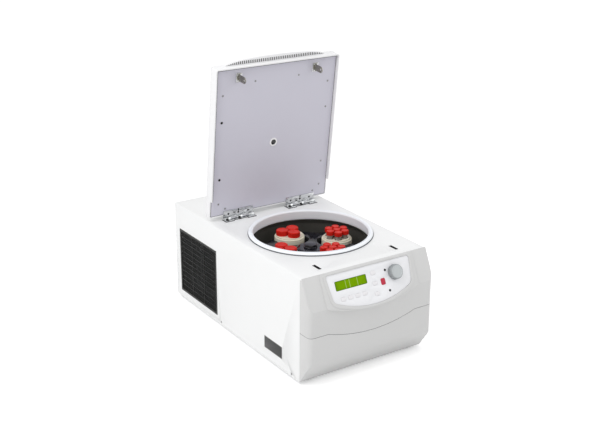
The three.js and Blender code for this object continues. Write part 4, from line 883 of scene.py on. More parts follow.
@dataclass
class Housing:
    """Folded shell, rear panel, base pan, grille, feet and the bare plate on the left wall."""

    half_width: float = 200.0
    sheet_edge: float = 0.5
    plate_near: float = -165.0
    plate_far: float = -75.0
    plate_low: float = 37.0
    plate_high: float = 74.0
    plate_gap: float = 0.25
    plate_border: float = 1.4
    pocket: float = 0.6
    deck: float = 302.5
    slot_x: float = 124.5
    slot_near: float = 199.5
    slot_far: float = 226.5
    # Sizes of the dark slot liners, which paint the shade in the latch slots.
    shadow_liner_half: float = 2.3
    shadow_liner_wall: float = 0.4
    shadow_liner_lip: float = 2.1
    shadow_liner_height: float = 0.35
    grille_front: float = 182.0
    grille_rear: float = 404.0
    grille_low: float = 28.6
    grille_high: float = 228.7
    grille_gap: float = 0.3
    grille_frame: float = 7.0
    grille_depth: float = 2.6
    grille_columns: int = 3
    grille_rows: int = 12
    post_half: float = 1.2
    slat_half: float = 0.9
    screen_depth: float = 3.6
    mesh_cell: float = 4.4
    mesh_wire: float = 1.5
    foot_radius: float = 18.0
    foot_taper: float = 2.0
    foot_height: float = 7.7
    screw_bore: float = 3.6
    screw_depth: float = 1.2
    side_screws: tuple[tuple[float, float], ...] = ((161.0, 16.0), (-210.0, 15.0))

    def build(self) -> None:
        """Builds and dresses the housing's pieces."""
        self.build_shell()
        self.build_slot_shadows()
        self.build_side_screws()
        self.build_plate()
        self.build_grille()
        self.build_feet()
        self.build_rear()

    def build_shell(self) -> None:
        """The painted shell, with pockets for the plate and the flush screws."""
        shell = refined_copy("cabinet_shell", "painted_shell", self.sheet_edge)
        x = -self.half_width
        tools = [block("tool", (x - 1, BOWL_Y + self.plate_near, self.plate_low),
                       (x + self.pocket, BOWL_Y + self.plate_far, self.plate_high))]
        for side in (-1, 1):
            ends = sorted((side * (self.half_width - self.screw_depth), side * (self.half_width + 1)))
            for y, z in self.side_screws:
                tools.append(rod("tool", self.screw_bore, *ends, Axis.X, BOWL_Y + y, z, 24))
        carve(shell, *tools)
        dress(shell, SHELL, "cabinet", ["cabinet_shell"])

    def build_slot_shadows(self) -> None:
        """Painted shade: dark liners in the deck's two latch slots, with a flange round each on the deck,
        that stand in for the shade inside the slots.
        """
        half, wall, lip, deck = self.shadow_liner_half, self.shadow_liner_wall, self.shadow_liner_lip, self.deck
        top = deck + self.shadow_liner_height
        near, far = BOWL_Y - self.slot_near, BOWL_Y - self.slot_far
        for side, x in (("left", -self.slot_x), ("right", self.slot_x)):
            flange = block("flange", (x - half - lip, far - lip, deck + 0.03),
                           (x + half + lip, near + lip, top))
            collar = block("collar", (x - half - wall, far - wall, deck - 1.7),
                           (x + half + wall, near + wall, deck + 0.1))
            for shadow_liner in (flange, collar):
                carve(shadow_liner, block("tool", (x - half, far, deck - 3), (x + half, near, top + 1)))
            dress(join([flange, collar], f"slot_shadow_liner_{side}"), BLACK, "cabinet")

    def build_side_screws(self) -> None:
        """Flush screws low on both side walls."""
        head = ScrewHead(3.3, 1.0).build()
        depth = self.half_width - self.screw_depth + 0.05
        for side, sign in (("left", -1), ("right", 1)):
            for index, (y, z) in enumerate(self.side_screws):
                spot = shift(sign * depth, BOWL_Y + y, z) @ turn(sign * 90, "Y")
                screw = duplicate(head, f"side_screw_{side}_{index + 1}", spot)
                dress(screw, SCREW, "cabinet")
        bpy.data.objects.remove(head)

    def plate_outline(self, inset: float, corner: float) -> list[tuple[float, float]]:
        """The bare plate's outline.

        Args:
            inset: How far it lies inside its pocket.
            corner: Radius of its corners.

        Returns:
            The outline's points.
        """
        return rectangle(BOWL_Y + self.plate_near + inset, BOWL_Y + self.plate_far - inset,
                         self.plate_low + inset, self.plate_high - inset, corner)

    def build_plate(self) -> None:
        """The bare dark plate with its bright edge, sunk flush in the left wall."""
        x, inner = -self.half_width, self.plate_gap + self.plate_border
        face = x + self.pocket - 0.05
        edge = prism("plate_edge", self.plate_outline(self.plate_gap, 1.5), x + 0.1, face, Axis.X)
        carve(edge, prism("tool", self.plate_outline(inner, 0.8), x - 1, x + 3, Axis.X))
        dress(soften(edge, 0.1), PLATE_EDGE, "cabinet")
        plate = prism("plate_face", self.plate_outline(inner + 0.05, 0.8), x + 0.2, face, Axis.X)
        dress(soften(plate, 0.08), PLATE, "cabinet")

    def build_grille(self) -> None:
        """The intake grille: a rounded frame, crossing bars and a fine screen behind."""
        x, gap, rim = -self.half_width, self.grille_gap, self.grille_frame
        y0, y1 = BOWL_Y + self.grille_front + gap, BOWL_Y + self.grille_rear - gap
        z0, z1 = self.grille_low + gap, self.grille_high - gap
        near, far, low, high = y0 + rim, y1 - rim, z0 + rim, z1 - rim
        border = prism("grille_frame", rectangle(y0, y1, z0, z1, 3), x, x + self.grille_depth, Axis.X)
        carve(border, prism("tool", rectangle(near, far, low, high, 2), x - 5, x + 9, Axis.X))
        soften(border, 0.6, 3)
        bars = []
        for k in range(1, self.grille_columns):
            y, half = near + (far - near) * k / self.grille_columns, self.post_half
            bars.append(block("post", (x + 0.5, y - half, low - 1), (x + 2.4, y + half, high + 1), 0.5))
        for k in range(1, self.grille_rows):
            z, half = low + (high - low) * k / self.grille_rows, self.slat_half
            bars.append(block("slat", (x + 0.9, near - 1, z - half), (x + 2.2, far + 1, z + half), 0.4))
        whole = join([border, *bars], "intake_grille")
        dress(whole, GRILLE, "cabinet", ["side_grille"])
        self.build_screen((y0 + y1) / 2, (z0 + z1) / 2, y1 - y0 - rim, z1 - z0 - rim)

    def build_screen(self, y: float, z: float, wide: float, tall: float) -> None:
        """The fine wire screen behind the grille.

        Args:
            y: Its middle in depth.
            z: Its middle in height.
            wide: Its width.
            tall: Its height.
        """
        deselect()
        bpy.ops.mesh.primitive_grid_add(x_subdivisions=round(wide / self.mesh_cell),
                                        y_subdivisions=round(tall / self.mesh_cell), size=1)
        screen = bpy.context.object
        screen.name = "intake_screen"
        x = self.screen_depth - self.half_width
        place(screen, Matrix(((0, 0, 1, x * MM), (wide * MM, 0, 0, y * MM), (0, tall * MM, 0, z * MM),
                              (0, 0, 0, 1))))
        wire = screen.modifiers.new("wire", "WIREFRAME")
        wire.thickness = self.mesh_wire * MM
        wire.use_even_offset = False
        bpy.ops.object.modifier_apply(modifier=wire.name)
        dress(screen, GRILLE, "cabinet")

    def build_feet(self) -> None:
        """Four turned rubber feet with a ribbed waist."""
        r, t, h = self.foot_radius, self.foot_taper, self.foot_height
        foot = lathe("foot", [(0, 0.4), (r - t - 4, 0.4), (r - t - 3, 0), (r - t, 0), (r - t + 0.8, 0.6),
                              (r - 0.2, h * 0.45), (r, h * 0.55), (r, h - 0.4), (r - 0.5, h), (0, h)], 48)
        for place_name in ("front_left", "front_right", "rear_left", "rear_right"):
            low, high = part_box(f"foot_{place_name}")
            middle = (low + high) / (2 * MM)
            copy = duplicate(foot, f"rubber_foot_{place_name}", shift(middle.x, middle.y, 0))
            dress(copy, FOOT, "cabinet", [f"foot_{place_name}"])
        bpy.data.objects.remove(foot)

    def build_rear(self) -> None:
        """Rear panel with its louvres, the inlet, the rocker and the base pan."""
        edge = self.sheet_edge
        reface("rear_panel", "painted_rear_panel", edge, SHELL, "cabinet")
        reface("mains_inlet", "inlet_moulding", 0.35, BLACK, "cabinet")
        reface("power_switch", "rocker_key", edge, BLACK, "switch")
        reface("base_pan", "base_pan_plated", 0.4, PAN, "cabinet")


@dataclass
class Nose:
    """Console moulding with its chin, and the apron below the curved seam."""

    console_edge: float = 1.2
    apron_edge: float = 1.0
    sharp: float = 24.0
    smooth: float = 28.0
    seam: float = 150.0
    seam_dip: float = 23.0
    seam_half: float = 141.0
    shadow_cord_over: float = 1.6
    shadow_cord_under: float = 2.8
    shadow_cord_back: float = 0.4
    shadow_cord_lift: float = 4.0
    shadow_cord_share: float = 0.998
    band_half: float = 205.0
    band_steps: int = 41
    band_near: float = -450.0
    band_far: float = -150.0

    def build(self) -> None:
        """Builds and dresses both mouldings and the dark cord between them, which paints the seam's shadow.
        """
        self.build_seam_shadow()
        for node, name, edge in (("front_fascia", "console_moulding", self.console_edge),
                                 ("front_apron", "apron_moulding", self.apron_edge)):
            reface(node, name, edge, FRONT, "cabinet", 3, self.sharp, self.smooth)

    def seam_height(self, x: float) -> float:
        """The seam's height, which dips in an arc in the middle.

        Args:
            x: Place across the nose.

        Returns:
            The height.
        """
        radius = (self.seam_half ** 2 + self.seam_dip ** 2) / (2 * self.seam_dip)
        if abs(x) >= self.seam_half:
            return self.seam
        return self.seam - (math.sqrt(radius ** 2 - x ** 2) - radius + self.seam_dip)

    def build_seam_shadow(self) -> None:
        """Painted shadow: a dark cord that lies back in the seam and stands in for the shade of the gap."""
        # Painted shadow: a dark copy of the apron, cut to a band along the seam.
        shadow_cord = refined_copy("front_apron", "seam_shadow_cord", 0)
        place(shadow_cord, shift(0, self.shadow_cord_back, self.shadow_cord_lift) @ Matrix.Diagonal((self.shadow_cord_share, 1, 1, 1)))
        spots = [self.band_half * (2 * step / self.band_steps - 1) for step in range(self.band_steps + 1)]
        band = [(x, self.seam_height(x) - self.shadow_cord_under) for x in spots]
        band += [(x, self.seam_height(x) + self.shadow_cord_over) for x in reversed(spots)]
        carve(shadow_cord, prism("tool", band, self.band_near, self.band_far, Axis.Y), cut=Cut.WITHIN)
        dress(shadow_cord, SHADOW_BEAD, "cabinet")


@dataclass
class ControlPanel:
    """Overlay, display, keys, lenses and the knob, on the slope of the console."""

    face: float = 4.0
    knob_x: float = 77.5
    knob_depth: float = 43.0
    knob_radius: float = 20.5
    knob_height: float = 14.0
    knob_lift: float = 0.6
    shaft_radius: float = 3.0
    shaft_reach: float = 15.0
    flutes: int = 30
    flute_radius: float = 1.25
    flute_out: float = 0.35
    overlay_edge: float = 0.35
    window_edge: float = 0.3
    key_edge: float = 0.5
    lens_spots: tuple[tuple[float, float], ...] = ((50.5, 31.7), (51.8, 86.5))
    lens_radius: float = 3.5
    knob_steps: int = 96

    def build(self) -> None:
        """Builds and dresses the panel's pieces."""
        reface("keypad_panel", "panel_overlay", self.overlay_edge, OVERLAY, "cabinet", 2, 40)
        reface("display_window", "display_glass", self.window_edge, LCD, "cabinet", 2, 40)
        for key in ("speed", "time", "temperature", "program", "lid", "start", "short_spin", "stop"):
            finish, slot = (KEY_RED, "key_red") if key == "stop" else (KEY, "key_pale")
            reface(f"key_{key}", f"key_cap_{key}", self.key_edge, finish, f"button_{key}", 3, 40)
        self.build_lenses()
        self.build_knob()
        dress_node("control_board", BOARD)

    def build_lenses(self) -> None:
        """Two small dark lenses beside the keys."""
        r = self.lens_radius
        lens = lathe("lens", [(0, -0.3), (r, -0.3), (r, 0.15), (r * 0.8, 0.5), (r * 0.4, 0.7),
                              (0, 0.75)], 24)
        for index, (x, depth) in enumerate(self.lens_spots):
            copy = duplicate(lens, f"lens_{index + 1}", SLOPE @ shift(x, -depth, self.face + 0.02))
            dress(copy, DARK_LENS_AND_SHADE, "cabinet")
        bpy.data.objects.remove(lens)

    def build_knob(self) -> None:
        """The fluted knob with its rounded shoulder and shaft, and its dished face; the body is darker than
        the face, a painted shade on the knob's side.
        """
        r, h, steps = self.knob_radius, self.knob_height, self.knob_steps
        shaft, reach = self.shaft_radius, self.shaft_reach
        spot = SLOPE @ shift(self.knob_x, -self.knob_depth, self.face + self.knob_lift)
        knob = lathe("knob_body", rounded([
            (0, -reach), (shaft, -reach), (shaft, 0.0), (r - 2.4, 0, 0.5), (r, 1.4, 1.0),
            (r - 0.8, h - 0.2, 3.2), (r - 4.4, h, 1.0), (r - 5.6, h - 0.9, 1.0), (0, h - 1.1)], 5), steps)
        grooves = []
        for k in range(self.flutes):
            x, y = polar(r + self.flute_out, 2 * math.pi * k / self.flutes)
            grooves.append(rod("tool", self.flute_radius, 2.2, h + 2, Axis.Z, x, y, 10))
        # Painted shade: the fluted body is dressed darker than the face.
        fit(carve(knob, *grooves), spot, KNOB_SHADED_SIDE, "knob", ["knob"])
        face = lathe("knob_face", [(0, h - 1.5), (r - 3.4, h - 1.5), (r - 3.4, h + 0.2), (r - 4.6, h + 0.6),
                                   (r - 6.0, h - 0.5), (0, h - 0.7)], steps)
        fit(face, spot, KNOB, "knob")


@dataclass
class Chamber:
    """Spun bowl, its seal, and the works below it."""

    bowl_radius: float = 176.0
    floor: float = 150.0
    fillet: float = 14.0
    sheet: float = 1.5
    shoulder: float = 266.0
    neck_radius: float = 166.0
    neck: float = 281.0
    deck: float = 302.5
    hole: float = 15.0
    seal_top: float = 311.0
    seal_outer: float = 174.0
    seal_seat: float = 168.0
    seal_inner: float = 160.0
    steps: int = 128

    def build(self) -> None:
        """Builds and dresses the bowl and its surroundings."""
        self.build_bowl()
        self.build_seal()
        for node, finish in (("evaporator_coil", COPPER), ("bowl_insulation", FOAM),
                             ("motor_housing", CASE), ("motor_mount_1", RUBBER),
                             ("motor_mount_2", RUBBER), ("motor_mount_3", RUBBER)):
            dress_node(node, finish)

    def build_bowl(self) -> None:
        """The bowl with its rounded floor and the step in under the seal."""
        r, f, t, neck = self.bowl_radius, self.floor, self.sheet, self.neck_radius
        bowl = lathe("spun_bowl", rounded([
            (self.hole, f - t), (r + t, f - t, self.fillet + t), (r + t, self.shoulder + t, 5),
            (neck + t, self.neck), (neck, self.neck), (r, self.shoulder, 4), (r, f, self.fillet),
            (self.hole, f)], 8), self.steps, closed=True)
        fit(bowl, CHAMBER, BOWL, "cabinet", ["bowl"])

    def build_seal(self) -> None:
        """The pale seal with a groove round its top, and a dark ring under its outer lip that paints the
        shadow of the undercut.
        """
        o, i, top, deck = self.seal_outer, self.seal_inner, self.seal_top, self.deck
        seat, neck, low = self.seal_seat, self.neck_radius, self.neck
        seal = lathe("bowl_seal", rounded([
            (neck - 1.5, low + 0.3), (seat - 1.5, low + 0.3, 1), (seat, low + 3, 1), (seat, deck + 1.2),
            (o - 2.2, deck + 1.2, 0.5), (o, deck + 3, 1.2), (o - 3.4, top - 1.2, 3),
            (o - 8.2, top - 0.8, 0.8), (o - 8.8, top - 2.2, 0.5), (o - 9.8, top - 2.2, 0.5),
            (o - 10.4, top - 0.1, 0.8), (i + 2.6, top, 3), (i, top - 4, 2), (i + 0.6, top - 8, 3),
            (neck - 3, low + 3, 2)], 5), self.steps, closed=True)
        fit(seal, CHAMBER, SEAL, "cabinet", ["bowl_gasket"])
        # Painted shadow: the dark ring under the seal's outer lip stands in for the shade of the undercut.
        shadow_bead = lathe("painted_shadow_bead", rounded([
            (seat + 0.3, deck + 0.05), (o + 0.9, deck + 0.05, 0.3), (o + 0.7, deck + 1.15, 0.4),
            (seat + 0.3, deck + 1.15)], 4), self.steps, closed=True)
        fit(shadow_bead, CHAMBER, SHADOW_BEAD, "cabinet")


@dataclass
class Rotor:
    """Swing-out rotor with four buckets and their tube racks."""

    pivot: float = 95.5
    pivot_height: float = 248.0
    radius: float = 128.5
    top: float = 260.0
    rim_top: float = 257.0
    rim_low: float = 237.0
    hub_low: float = 206.0
    hub_radius: float = 35.0
    slot_half: float = 44.5
    slot_scallop: float = 57.0
    slot_steps: int = 16
    horn_scallop: float = 46.0
    horn_out: float = 166.5
    pin_radius: float = 4.5
    pin_reach: float = 5.5
    shaft_radius: float = 8.3
    nut_radius: float = 19.0
    nut_height: float = 10.0
    play: float = 0.3
    rim: float = 43.0
    rim_high: float = 13.0
    collar_low: float = 14.0
    collar_bore: float = 37.0
    bucket_body: float = 35.5
    bucket_foot: float = 19.5
    bucket_bottom: float = 71.0
    taper_top: float = 51.0
    wall: float = 2.5
    rack_top: float = 20.7
    rack_floor: float = 63.0
    large_cap: float = 17.5
    large_cap_height: float = 15.6
    large_ribs: int = 30
    large_offset: float = 20.61
    large_first: float = 60.0
    left_lean: float = 67.5
    small_cap: float = 11.0
    small_cap_height: float = 12.0
    small_ribs: int = 20
    small_pitch: float = 24.2
    large_sink: float = 0.6
    small_lift: float = 11.0
    cap_turn: float = 11.0
    tube_radius: float = 8.0
    tube_low: float = 3.5
    tube_high: float = 12.2
    well_radius: float = 10.0
    well_depth: float = 3.0
    steps: int = 96

    def build(self) -> None:
        """Builds and dresses the rotor, its nut, the buckets and the racks."""
        self.build_cross()
        self.build_nut()
        dress_node("motor_shaft", SHAFT)
        bucket, rack, small_rack = self.model_bucket(), self.model_rack(False), self.model_rack(True)
        large = self.model_cap(self.large_cap, self.large_cap_height, self.large_ribs)
        small = self.model_cap(self.small_cap, self.small_cap_height, self.small_ribs)
        tube = rod("tube", self.tube_radius, self.rack_top - self.tube_low, self.rack_top + self.tube_high,
                   steps=24)
        for k, side in enumerate(("right", "rear", "left", "front")):
            arm = ROTOR @ turn(90 * k) @ shift(self.pivot, 0, self.pivot_height)
            body = f"swing_bucket_{side}"
            cup = duplicate(bucket, f"enamel_bucket_{side}", arm)
            dress(cup, CREAM, body, [f"bucket_{side}"])
            few = side in ("rear", "left")
            insert = duplicate(rack if few else small_rack, f"rack_block_{side}", arm)
            dress(insert, CREAM, body, [f"tube_rack_{side}"])
            if few:
                lean = self.left_lean if side == "left" else 0.0
                spots = ring(self.large_offset, 3, self.large_first + lean)
                self.set_caps(side, arm, large, spots, self.rack_top - self.large_sink)
            else:
                spots = [(0.0, 0.0), *ring(self.small_pitch, 6)]
                self.set_caps(side, arm, small, spots, self.rack_top + self.small_lift)
                self.set_tubes(side, arm, tube, spots)
        for model in (bucket, rack, small_rack, large, small, tube):
            bpy.data.objects.remove(model)

    def set_caps(self, side: str, arm: Matrix, cap: Piece, spots: Sequence[Point], low: float) -> None:
        """Sets a rack's caps.

        Args:
            side: The bucket's place.
            arm: The bucket's frame.
            cap: The cap's model.
            spots: Where the tubes stand in the rack.
            low: Height of the caps' lower edges.
        """
        caps = [duplicate(cap, "cap", arm @ shift(x, y, low) @ turn(self.cap_turn * index))
                for index, (x, y) in enumerate(spots)]
        dress(join(caps, f"tube_caps_{side}"), RED, f"swing_bucket_{side}",
              [f"tube_rack_{side}"])

    def set_tubes(self, side: str, arm: Matrix, tube: Piece, spots: Sequence[Point]) -> None:
        """Sets a rack's small tubes and the dark liners of their wells, which paint the shade in the wells
        round the tubes.

        Args:
            side: The bucket's place.
            arm: The bucket's frame.
            tube: The tube's model.
            spots: Where the tubes stand in the rack.
        """
        body = f"swing_bucket_{side}"
        tubes = [duplicate(tube, "tube", arm @ shift(x, y, 0)) for x, y in spots]
        dress(join(tubes, f"tubes_{side}"), TUBE, body, [f"tube_rack_{side}"])
        # Painted shade: dark rings in the wells round the tubes.
        low, high = self.rack_top - self.well_depth + 0.1, self.rack_top - 0.7
        bore, outer = self.tube_radius + self.play, self.well_radius - 0.2
        shadow_liner = lathe("shadow_liner", [(bore, low), (outer, low), (outer, high), (outer - 0.4, high),
                                (outer - 0.8, low + 0.6), (bore, low + 0.6)], 32, closed=True)
        shadow_liners = [duplicate(shadow_liner, "shadow_liner", arm @ shift(x, y, 0)) for x, y in spots]
        bpy.data.objects.remove(shadow_liner)
        dress(join(shadow_liners, f"well_shadow_liners_{side}"), BLACK, body)

    def build_cross(self) -> None:
        """The cast cross: a dished disc cut by scalloped slots, with trunnion pins."""
        r, hub, half, scallop = self.radius, self.hub_radius, self.slot_half, self.slot_scallop
        low, high = self.hub_low - 6, self.top + 6
        cross = lathe("rotor_casting", rounded([
            (0, self.hub_low), (hub, self.hub_low, 3), (hub + 3, (self.hub_low + self.rim_low) / 2, 4),
            (r, self.rim_low, 3), (r, self.rim_top, 3), (hub + 6, self.rim_top, 2), (hub, self.top, 2),
            (0, self.top)], 4), self.steps)
        carve(cross, rod("tool", self.shaft_radius, low + 1, high - 1, steps=32))
        spread = math.asin(half / scallop)
        angles = [spread * (2 * step / self.slot_steps - 1) for step in range(self.slot_steps + 1)]
        arc = [(self.pivot - x, y) for x, y in (polar(scallop, angle) for angle in angles)]
        for k in range(4):
            slot = prism("tool", [*arc, (r + 8, half), (r + 8, -half)], low, high)
            carve(cross, place(slot, turn(90 * k)))
            horn = rod("tool", self.horn_scallop, low, high, Axis.Z, self.horn_out, 0, 64)
            carve(cross, place(horn, turn(90 * k + 45)))
        soften(cross, 1.1, 3, 40)
        pins = []
        for k in range(4):
            for side in (-1, 1):
                start = side * half - self.pin_reach
                pin = rod("pin", self.pin_radius, start, start + 2 * self.pin_reach, Axis.Y, self.pivot,
                          self.pivot_height, 24, 0.6)
                pins.append(place(pin, turn(90 * k)))
        pin_set = join(pins, "trunnion_pins")
        fit(cross, ROTOR, ROTOR_BLACK, "rotor", ["rotor_cross"])
        fit(pin_set, ROTOR, SHAFT, "rotor", ["rotor_cross"])

    def build_nut(self) -> None:
        """The rotor nut: a round foot, a rounded hexagon and a bore over the shaft."""
        r, low, top = self.nut_radius, self.top + self.play, self.top + self.nut_height
        nut = lathe("rotor_nut_turned", [(0, low), (r - 0.5, low), (r, low + 0.5), (r, low + 2.4),
                                         (r - 0.6, low + 3), (0, low + 3)], 64)
        flats = prism("hexagon", ring(r, 6), low + 2, top)
        crown = lathe("tool", [(0, low), (r, low), (r, top - 2.6), (r - 3, top), (0, top)], 64)
        carve(nut, carve(flats, crown, cut=Cut.WITHIN), cut=Cut.ADD)
        carve(nut, rod("tool", self.shaft_radius, low - 1, top - 2.7, steps=32))
        fit(soften(nut, 0.3, 2, 40), ROTOR, ROTOR_BLACK, "rotor", ["rotor_nut"])

    def model_bucket(self) -> Piece:
        """The bucket at its pivot's origin, with downward-open trunnion seats.

        Returns:
            The bucket, to be copied.
        """
        body, foot, t, low = self.bucket_body, self.bucket_foot, self.wall, self.collar_low
        bucket = lathe("bucket", rounded([
            (0, -self.bucket_bottom), (foot, -self.bucket_bottom, 4), (body, -self.taper_top, 4),
            (body, -low, 2), (self.rim, 7.5 - low, 2), (self.rim, self.rim_high, 0.9),
            (self.collar_bore, self.rim_high, 0.9), (self.collar_bore, 2.75 - low, 1), (body - t, -low, 1),
            (body - t, -self.taper_top, 3), (foot - t, t - self.bucket_bottom, 2),
            (0, t - self.bucket_bottom)], 4), self.steps)
        radius = self.pin_radius + self.play
        deep = self.slot_half - self.pin_reach - self.play
        seat = [polar(radius, math.radians(angle)) for angle in range(0, 181, 15)]
        seat += [(-radius, -low - 2), (radius, -low - 2)]
        for near, far in ((-self.slot_half, -deep), (deep, self.slot_half)):
            carve(bucket, prism("tool", seat, near, far, Axis.Y))
        return bucket

    def model_rack(self, holes: bool) -> Piece:
        """The rack's block with its two-step rim, at its pivot's origin.

        Args:
            holes: Whether wells for the seven small tubes are sunk in its top.

        Returns:
            The block, to be copied.
        """
        play, rim, low, top = self.play, self.rim, self.rim_high + self.play, self.rack_top
        body, bore = self.bucket_body - self.wall - play, self.collar_bore - play
        rack = lathe("rack", rounded([
            (0, -self.rack_floor), (self.bucket_foot, -self.rack_floor, 3),
            (body, self.wall - self.taper_top, 3), (body, play - self.collar_low),
            (bore, 3.05 - self.collar_low), (bore, low), (rim, low, 0.8), (rim, low + 3.4, 1.2),
            (rim - 4, low + 3.4), (rim - 4, top, 1.2), (0, top)], 4), self.steps)
        if holes:
            wells = [rod("tool", self.well_radius, top - self.well_depth, top + 2, Axis.Z, x, y, 32)
                     for x, y in (*ring(self.small_pitch, 6), (0.0, 0.0))]
            carve(rack, *wells)
            soften(rack, 0.3, 1, 50)
        return rack

    @staticmethod
    def model_cap(radius: float, height: float, ribs: int) -> Piece:
        """A ribbed screw cap on the origin.

        Args:
            radius: Its radius over the ribs.
            height: Its height.
            ribs: Number of ribs.

        Returns:
            The cap, to be copied.
        """
        valley, outline = 0.955, []
        for k in range(ribs):
            for part, share in ((0.0, 1.0), (0.36, 1.0), (0.5, valley), (0.86, valley)):
                outline.append(polar(radius * share, 2 * math.pi * (k + part) / ribs))
        skirt = prism("cap", outline, 0, height - 1.6)
        crown = lathe("crown", [(0, 1.0), (radius * valley, 1.0), (radius * valley, height - 1.8),
                                (radius * 0.93, height - 0.8), (radius * 0.86, height),
                                (radius * 0.76, height), (radius * 0.72, height - 0.7),
                                (0, height - 0.7)], 48)
        return carve(skirt, crown, cut=Cut.ADD)


@dataclass
class Lid:
    """Open lid: frame, crowned cover with its curved lip, inner plate, port and latch hooks."""

    half_width: float = 200.0
    length: float = 451.0
    corner: float = 5.0
    rear: float = 8.0
    skirt_low: float = -2.0
    cut_back: float = 61.7
    rim: float = 3.6
    rear_rim: float = 3.1
    # Widths of the dark cord and edging that paint the shadow lines round the plate.
    shadow_cord: float = 1.6
    shadow_edging: float = 1.3
    shadow_edging_gap: float = 9.0
    cover_low: float = 26.3
    cover_edge: float = 4.0
    cover_rise: float = 28.0
    cover_top: float = 80.0
    crown_steps: int = 40
    lip_low: float = 19.3
    lip_edge: float = 4.2
    lip_half: float = 161.0
    lip_share: float = 0.6
    lip_steps: int = 24
    bow: float = 15.7
    fall: float = 45.0
    wall: float = 3.0
    ribs: int = 53
    rib_pitch: float = 6.0
    groove: float = 3.2
    groove_reach: float = 9.0
    groove_depth: float = 4.0
    plate_low: float = 8.0
    plate_high: float = 9.5
    ledge: float = 9.8
    ledge_inset: float = 10.0
    frame_top: float = 26.0
    port_y: float = -210.5
    port_radius: float = 6.5
    port_play: float = 0.3
    port_low: float = 6.2
    port_seat: float = 7.7
    port_ring: float = 12.6
    latch_x: float = 124.5
    latch_u: float = 419.0
    hook_half: float = 9.0
    hook_thick: float = 1.6
    hook_tip: float = -30.0
    hook_eye: float = 3.6
    foot_half: tuple[float, float] = (7.3, 12.3)
    rivet_spot: tuple[float, float] = (4.4, 8.5)
    rivet_radius: float = 2.4
    screw_spots: tuple[tuple[float, float], ...] = (
        (-172, 47.5), (172, 47.5), (172, 122.7), (172, 294), (-172, 372), (172, 372),
        (-71, 402), (71, 402), (-150, 30), (150, 30))
    dark_spots: tuple[tuple[float, float], ...] = ((-172, 122.7), (-172, 294))
    screw_turn: float = 23.0

    def build(self) -> None:
        """Builds and dresses the lid's pieces."""
        self.build_frame()
        self.build_cover()
        self.build_grip_shadow()
        self.build_plate()
        self.build_port()
        self.build_screws()
        for side, sign in (("left", -1), ("right", 1)):
            self.build_hook(side, sign)
            dress_node(f"latch_unit_{side}", BLACK)

    def around(self, name: str, inset: float, rear_inset: float, low: float, high: float) -> Piece:
        """A block with the lid's plan, inset from its edges.

        Args:
            name: The piece's name.
            inset: How far it lies inside the sides and the front.
            rear_inset: How far it lies inside the rear edge.
            low: Where it starts in height.
            high: Where it ends.

        Returns:
            The block.
        """
        half = self.half_width - inset
        outline = rectangle(-half, half, -self.length + inset, -self.rear - rear_inset,
                            max(self.corner - inset, 0.4))
        return prism(name, outline, low, high)

    def port_tool(self) -> Piece:
        """The tool that opens a hole for the port."""
        return rod("tool", self.port_radius + self.port_play, 0, self.cover_top, Axis.Z, 0, self.port_y, 32)

    def build_frame(self) -> None:
        """The frame: walls, the broad rim round the plate and the ledge behind it."""
        ledge, inset, wall, skirt = self.ledge, self.ledge_inset, self.wall, self.skirt_low - 1
        walls = self.around("lid_walls", 0.0, 0.0, self.skirt_low, self.frame_top)
        for values in ((self.rim, self.rear_rim, skirt, ledge), (inset, inset, ledge - 1, ledge + 4),
                       (wall, wall, ledge + 2.5, self.frame_top + 1)):
            carve(walls, self.around("tool", *values))
        side = self.half_width + 1
        carve(walls, block("tool", (-side, -self.cut_back, skirt), (side, 1, self.plate_low)))
        fit(soften(walls, 0.7, 3, 40), LID, LID_SHELL, "lid", ["lid_frame"])

    def build_plate(self) -> None:
        """The inner plate, with a dark cord round it and a dark edging inside the rim; both are painted
        shade, standing in for the shadow line in the gap and along the rim's edge.
        """
        outer, rear, inner = self.rim + 0.1, self.rear_rim + 0.1, self.shadow_cord - 0.2
        # Painted shadow: a dark cord in the gap round the plate.
        shadow_cord = self.around("plate_shadow_cord", outer, rear, self.plate_low + 0.6, self.ledge - 0.1)
        carve(shadow_cord, self.around("tool", outer + inner, rear + inner, self.plate_low - 1, self.ledge + 1))
        fit(shadow_cord, LID, SHADOW_BEAD, "lid")
        outer, rear = outer + self.shadow_cord, rear + self.shadow_cord
        plate = self.around("lid_lining", outer, rear, self.plate_low, self.plate_high)
        carve(plate, self.port_tool())
        fit(plate, LID, LID_PLATE, "lid", ["lid_inner_plate"], 1)
        low, side = self.skirt_low, self.half_width + 1
        # Painted shade: a dark edging along the rim's inner edge, where the plate lies in the rim's shade.
        shadow_edging = self.around("rim_shadow_edging", self.rim - 0.1, self.rear, low + 0.3, low + 2.4)
        carve(shadow_edging, self.around("tool", self.rim + self.shadow_edging, -self.length / 2, low - 1, self.ledge))
        carve(shadow_edging, block("tool", (self.half_width - self.shadow_edging_gap, -self.length - 1, low - 1),
                            (side, 1, self.ledge)))
        carve(shadow_edging, block("tool", (-side, -self.cut_back - 0.5, low - 1), (side, self.length, self.ledge)))
        fit(shadow_edging, LID, SHADOW_BEAD, "lid")

    def crown(self, inset: float) -> list[tuple[float, float]]:
        """The cover's cross section.

        Args:
            inset: How far it lies inside the outer skin.

        Returns:
            Points of width and height.
        """
        half = self.half_width - inset
        rise = self.cover_rise - self.cover_edge
        radius = (self.half_width ** 2 + rise ** 2) / (2 * rise)
        middle = self.cover_low + self.cover_rise - radius
        spots = [half * (1 - 2 * step / self.crown_steps) for step in range(self.crown_steps + 1)]
        arc = [(x, middle + math.sqrt(radius ** 2 - x ** 2) - inset) for x in spots]
        low = (self.cover_low if inset else self.lip_low) - 2
        return [(-half, low), (half, low), *arc]

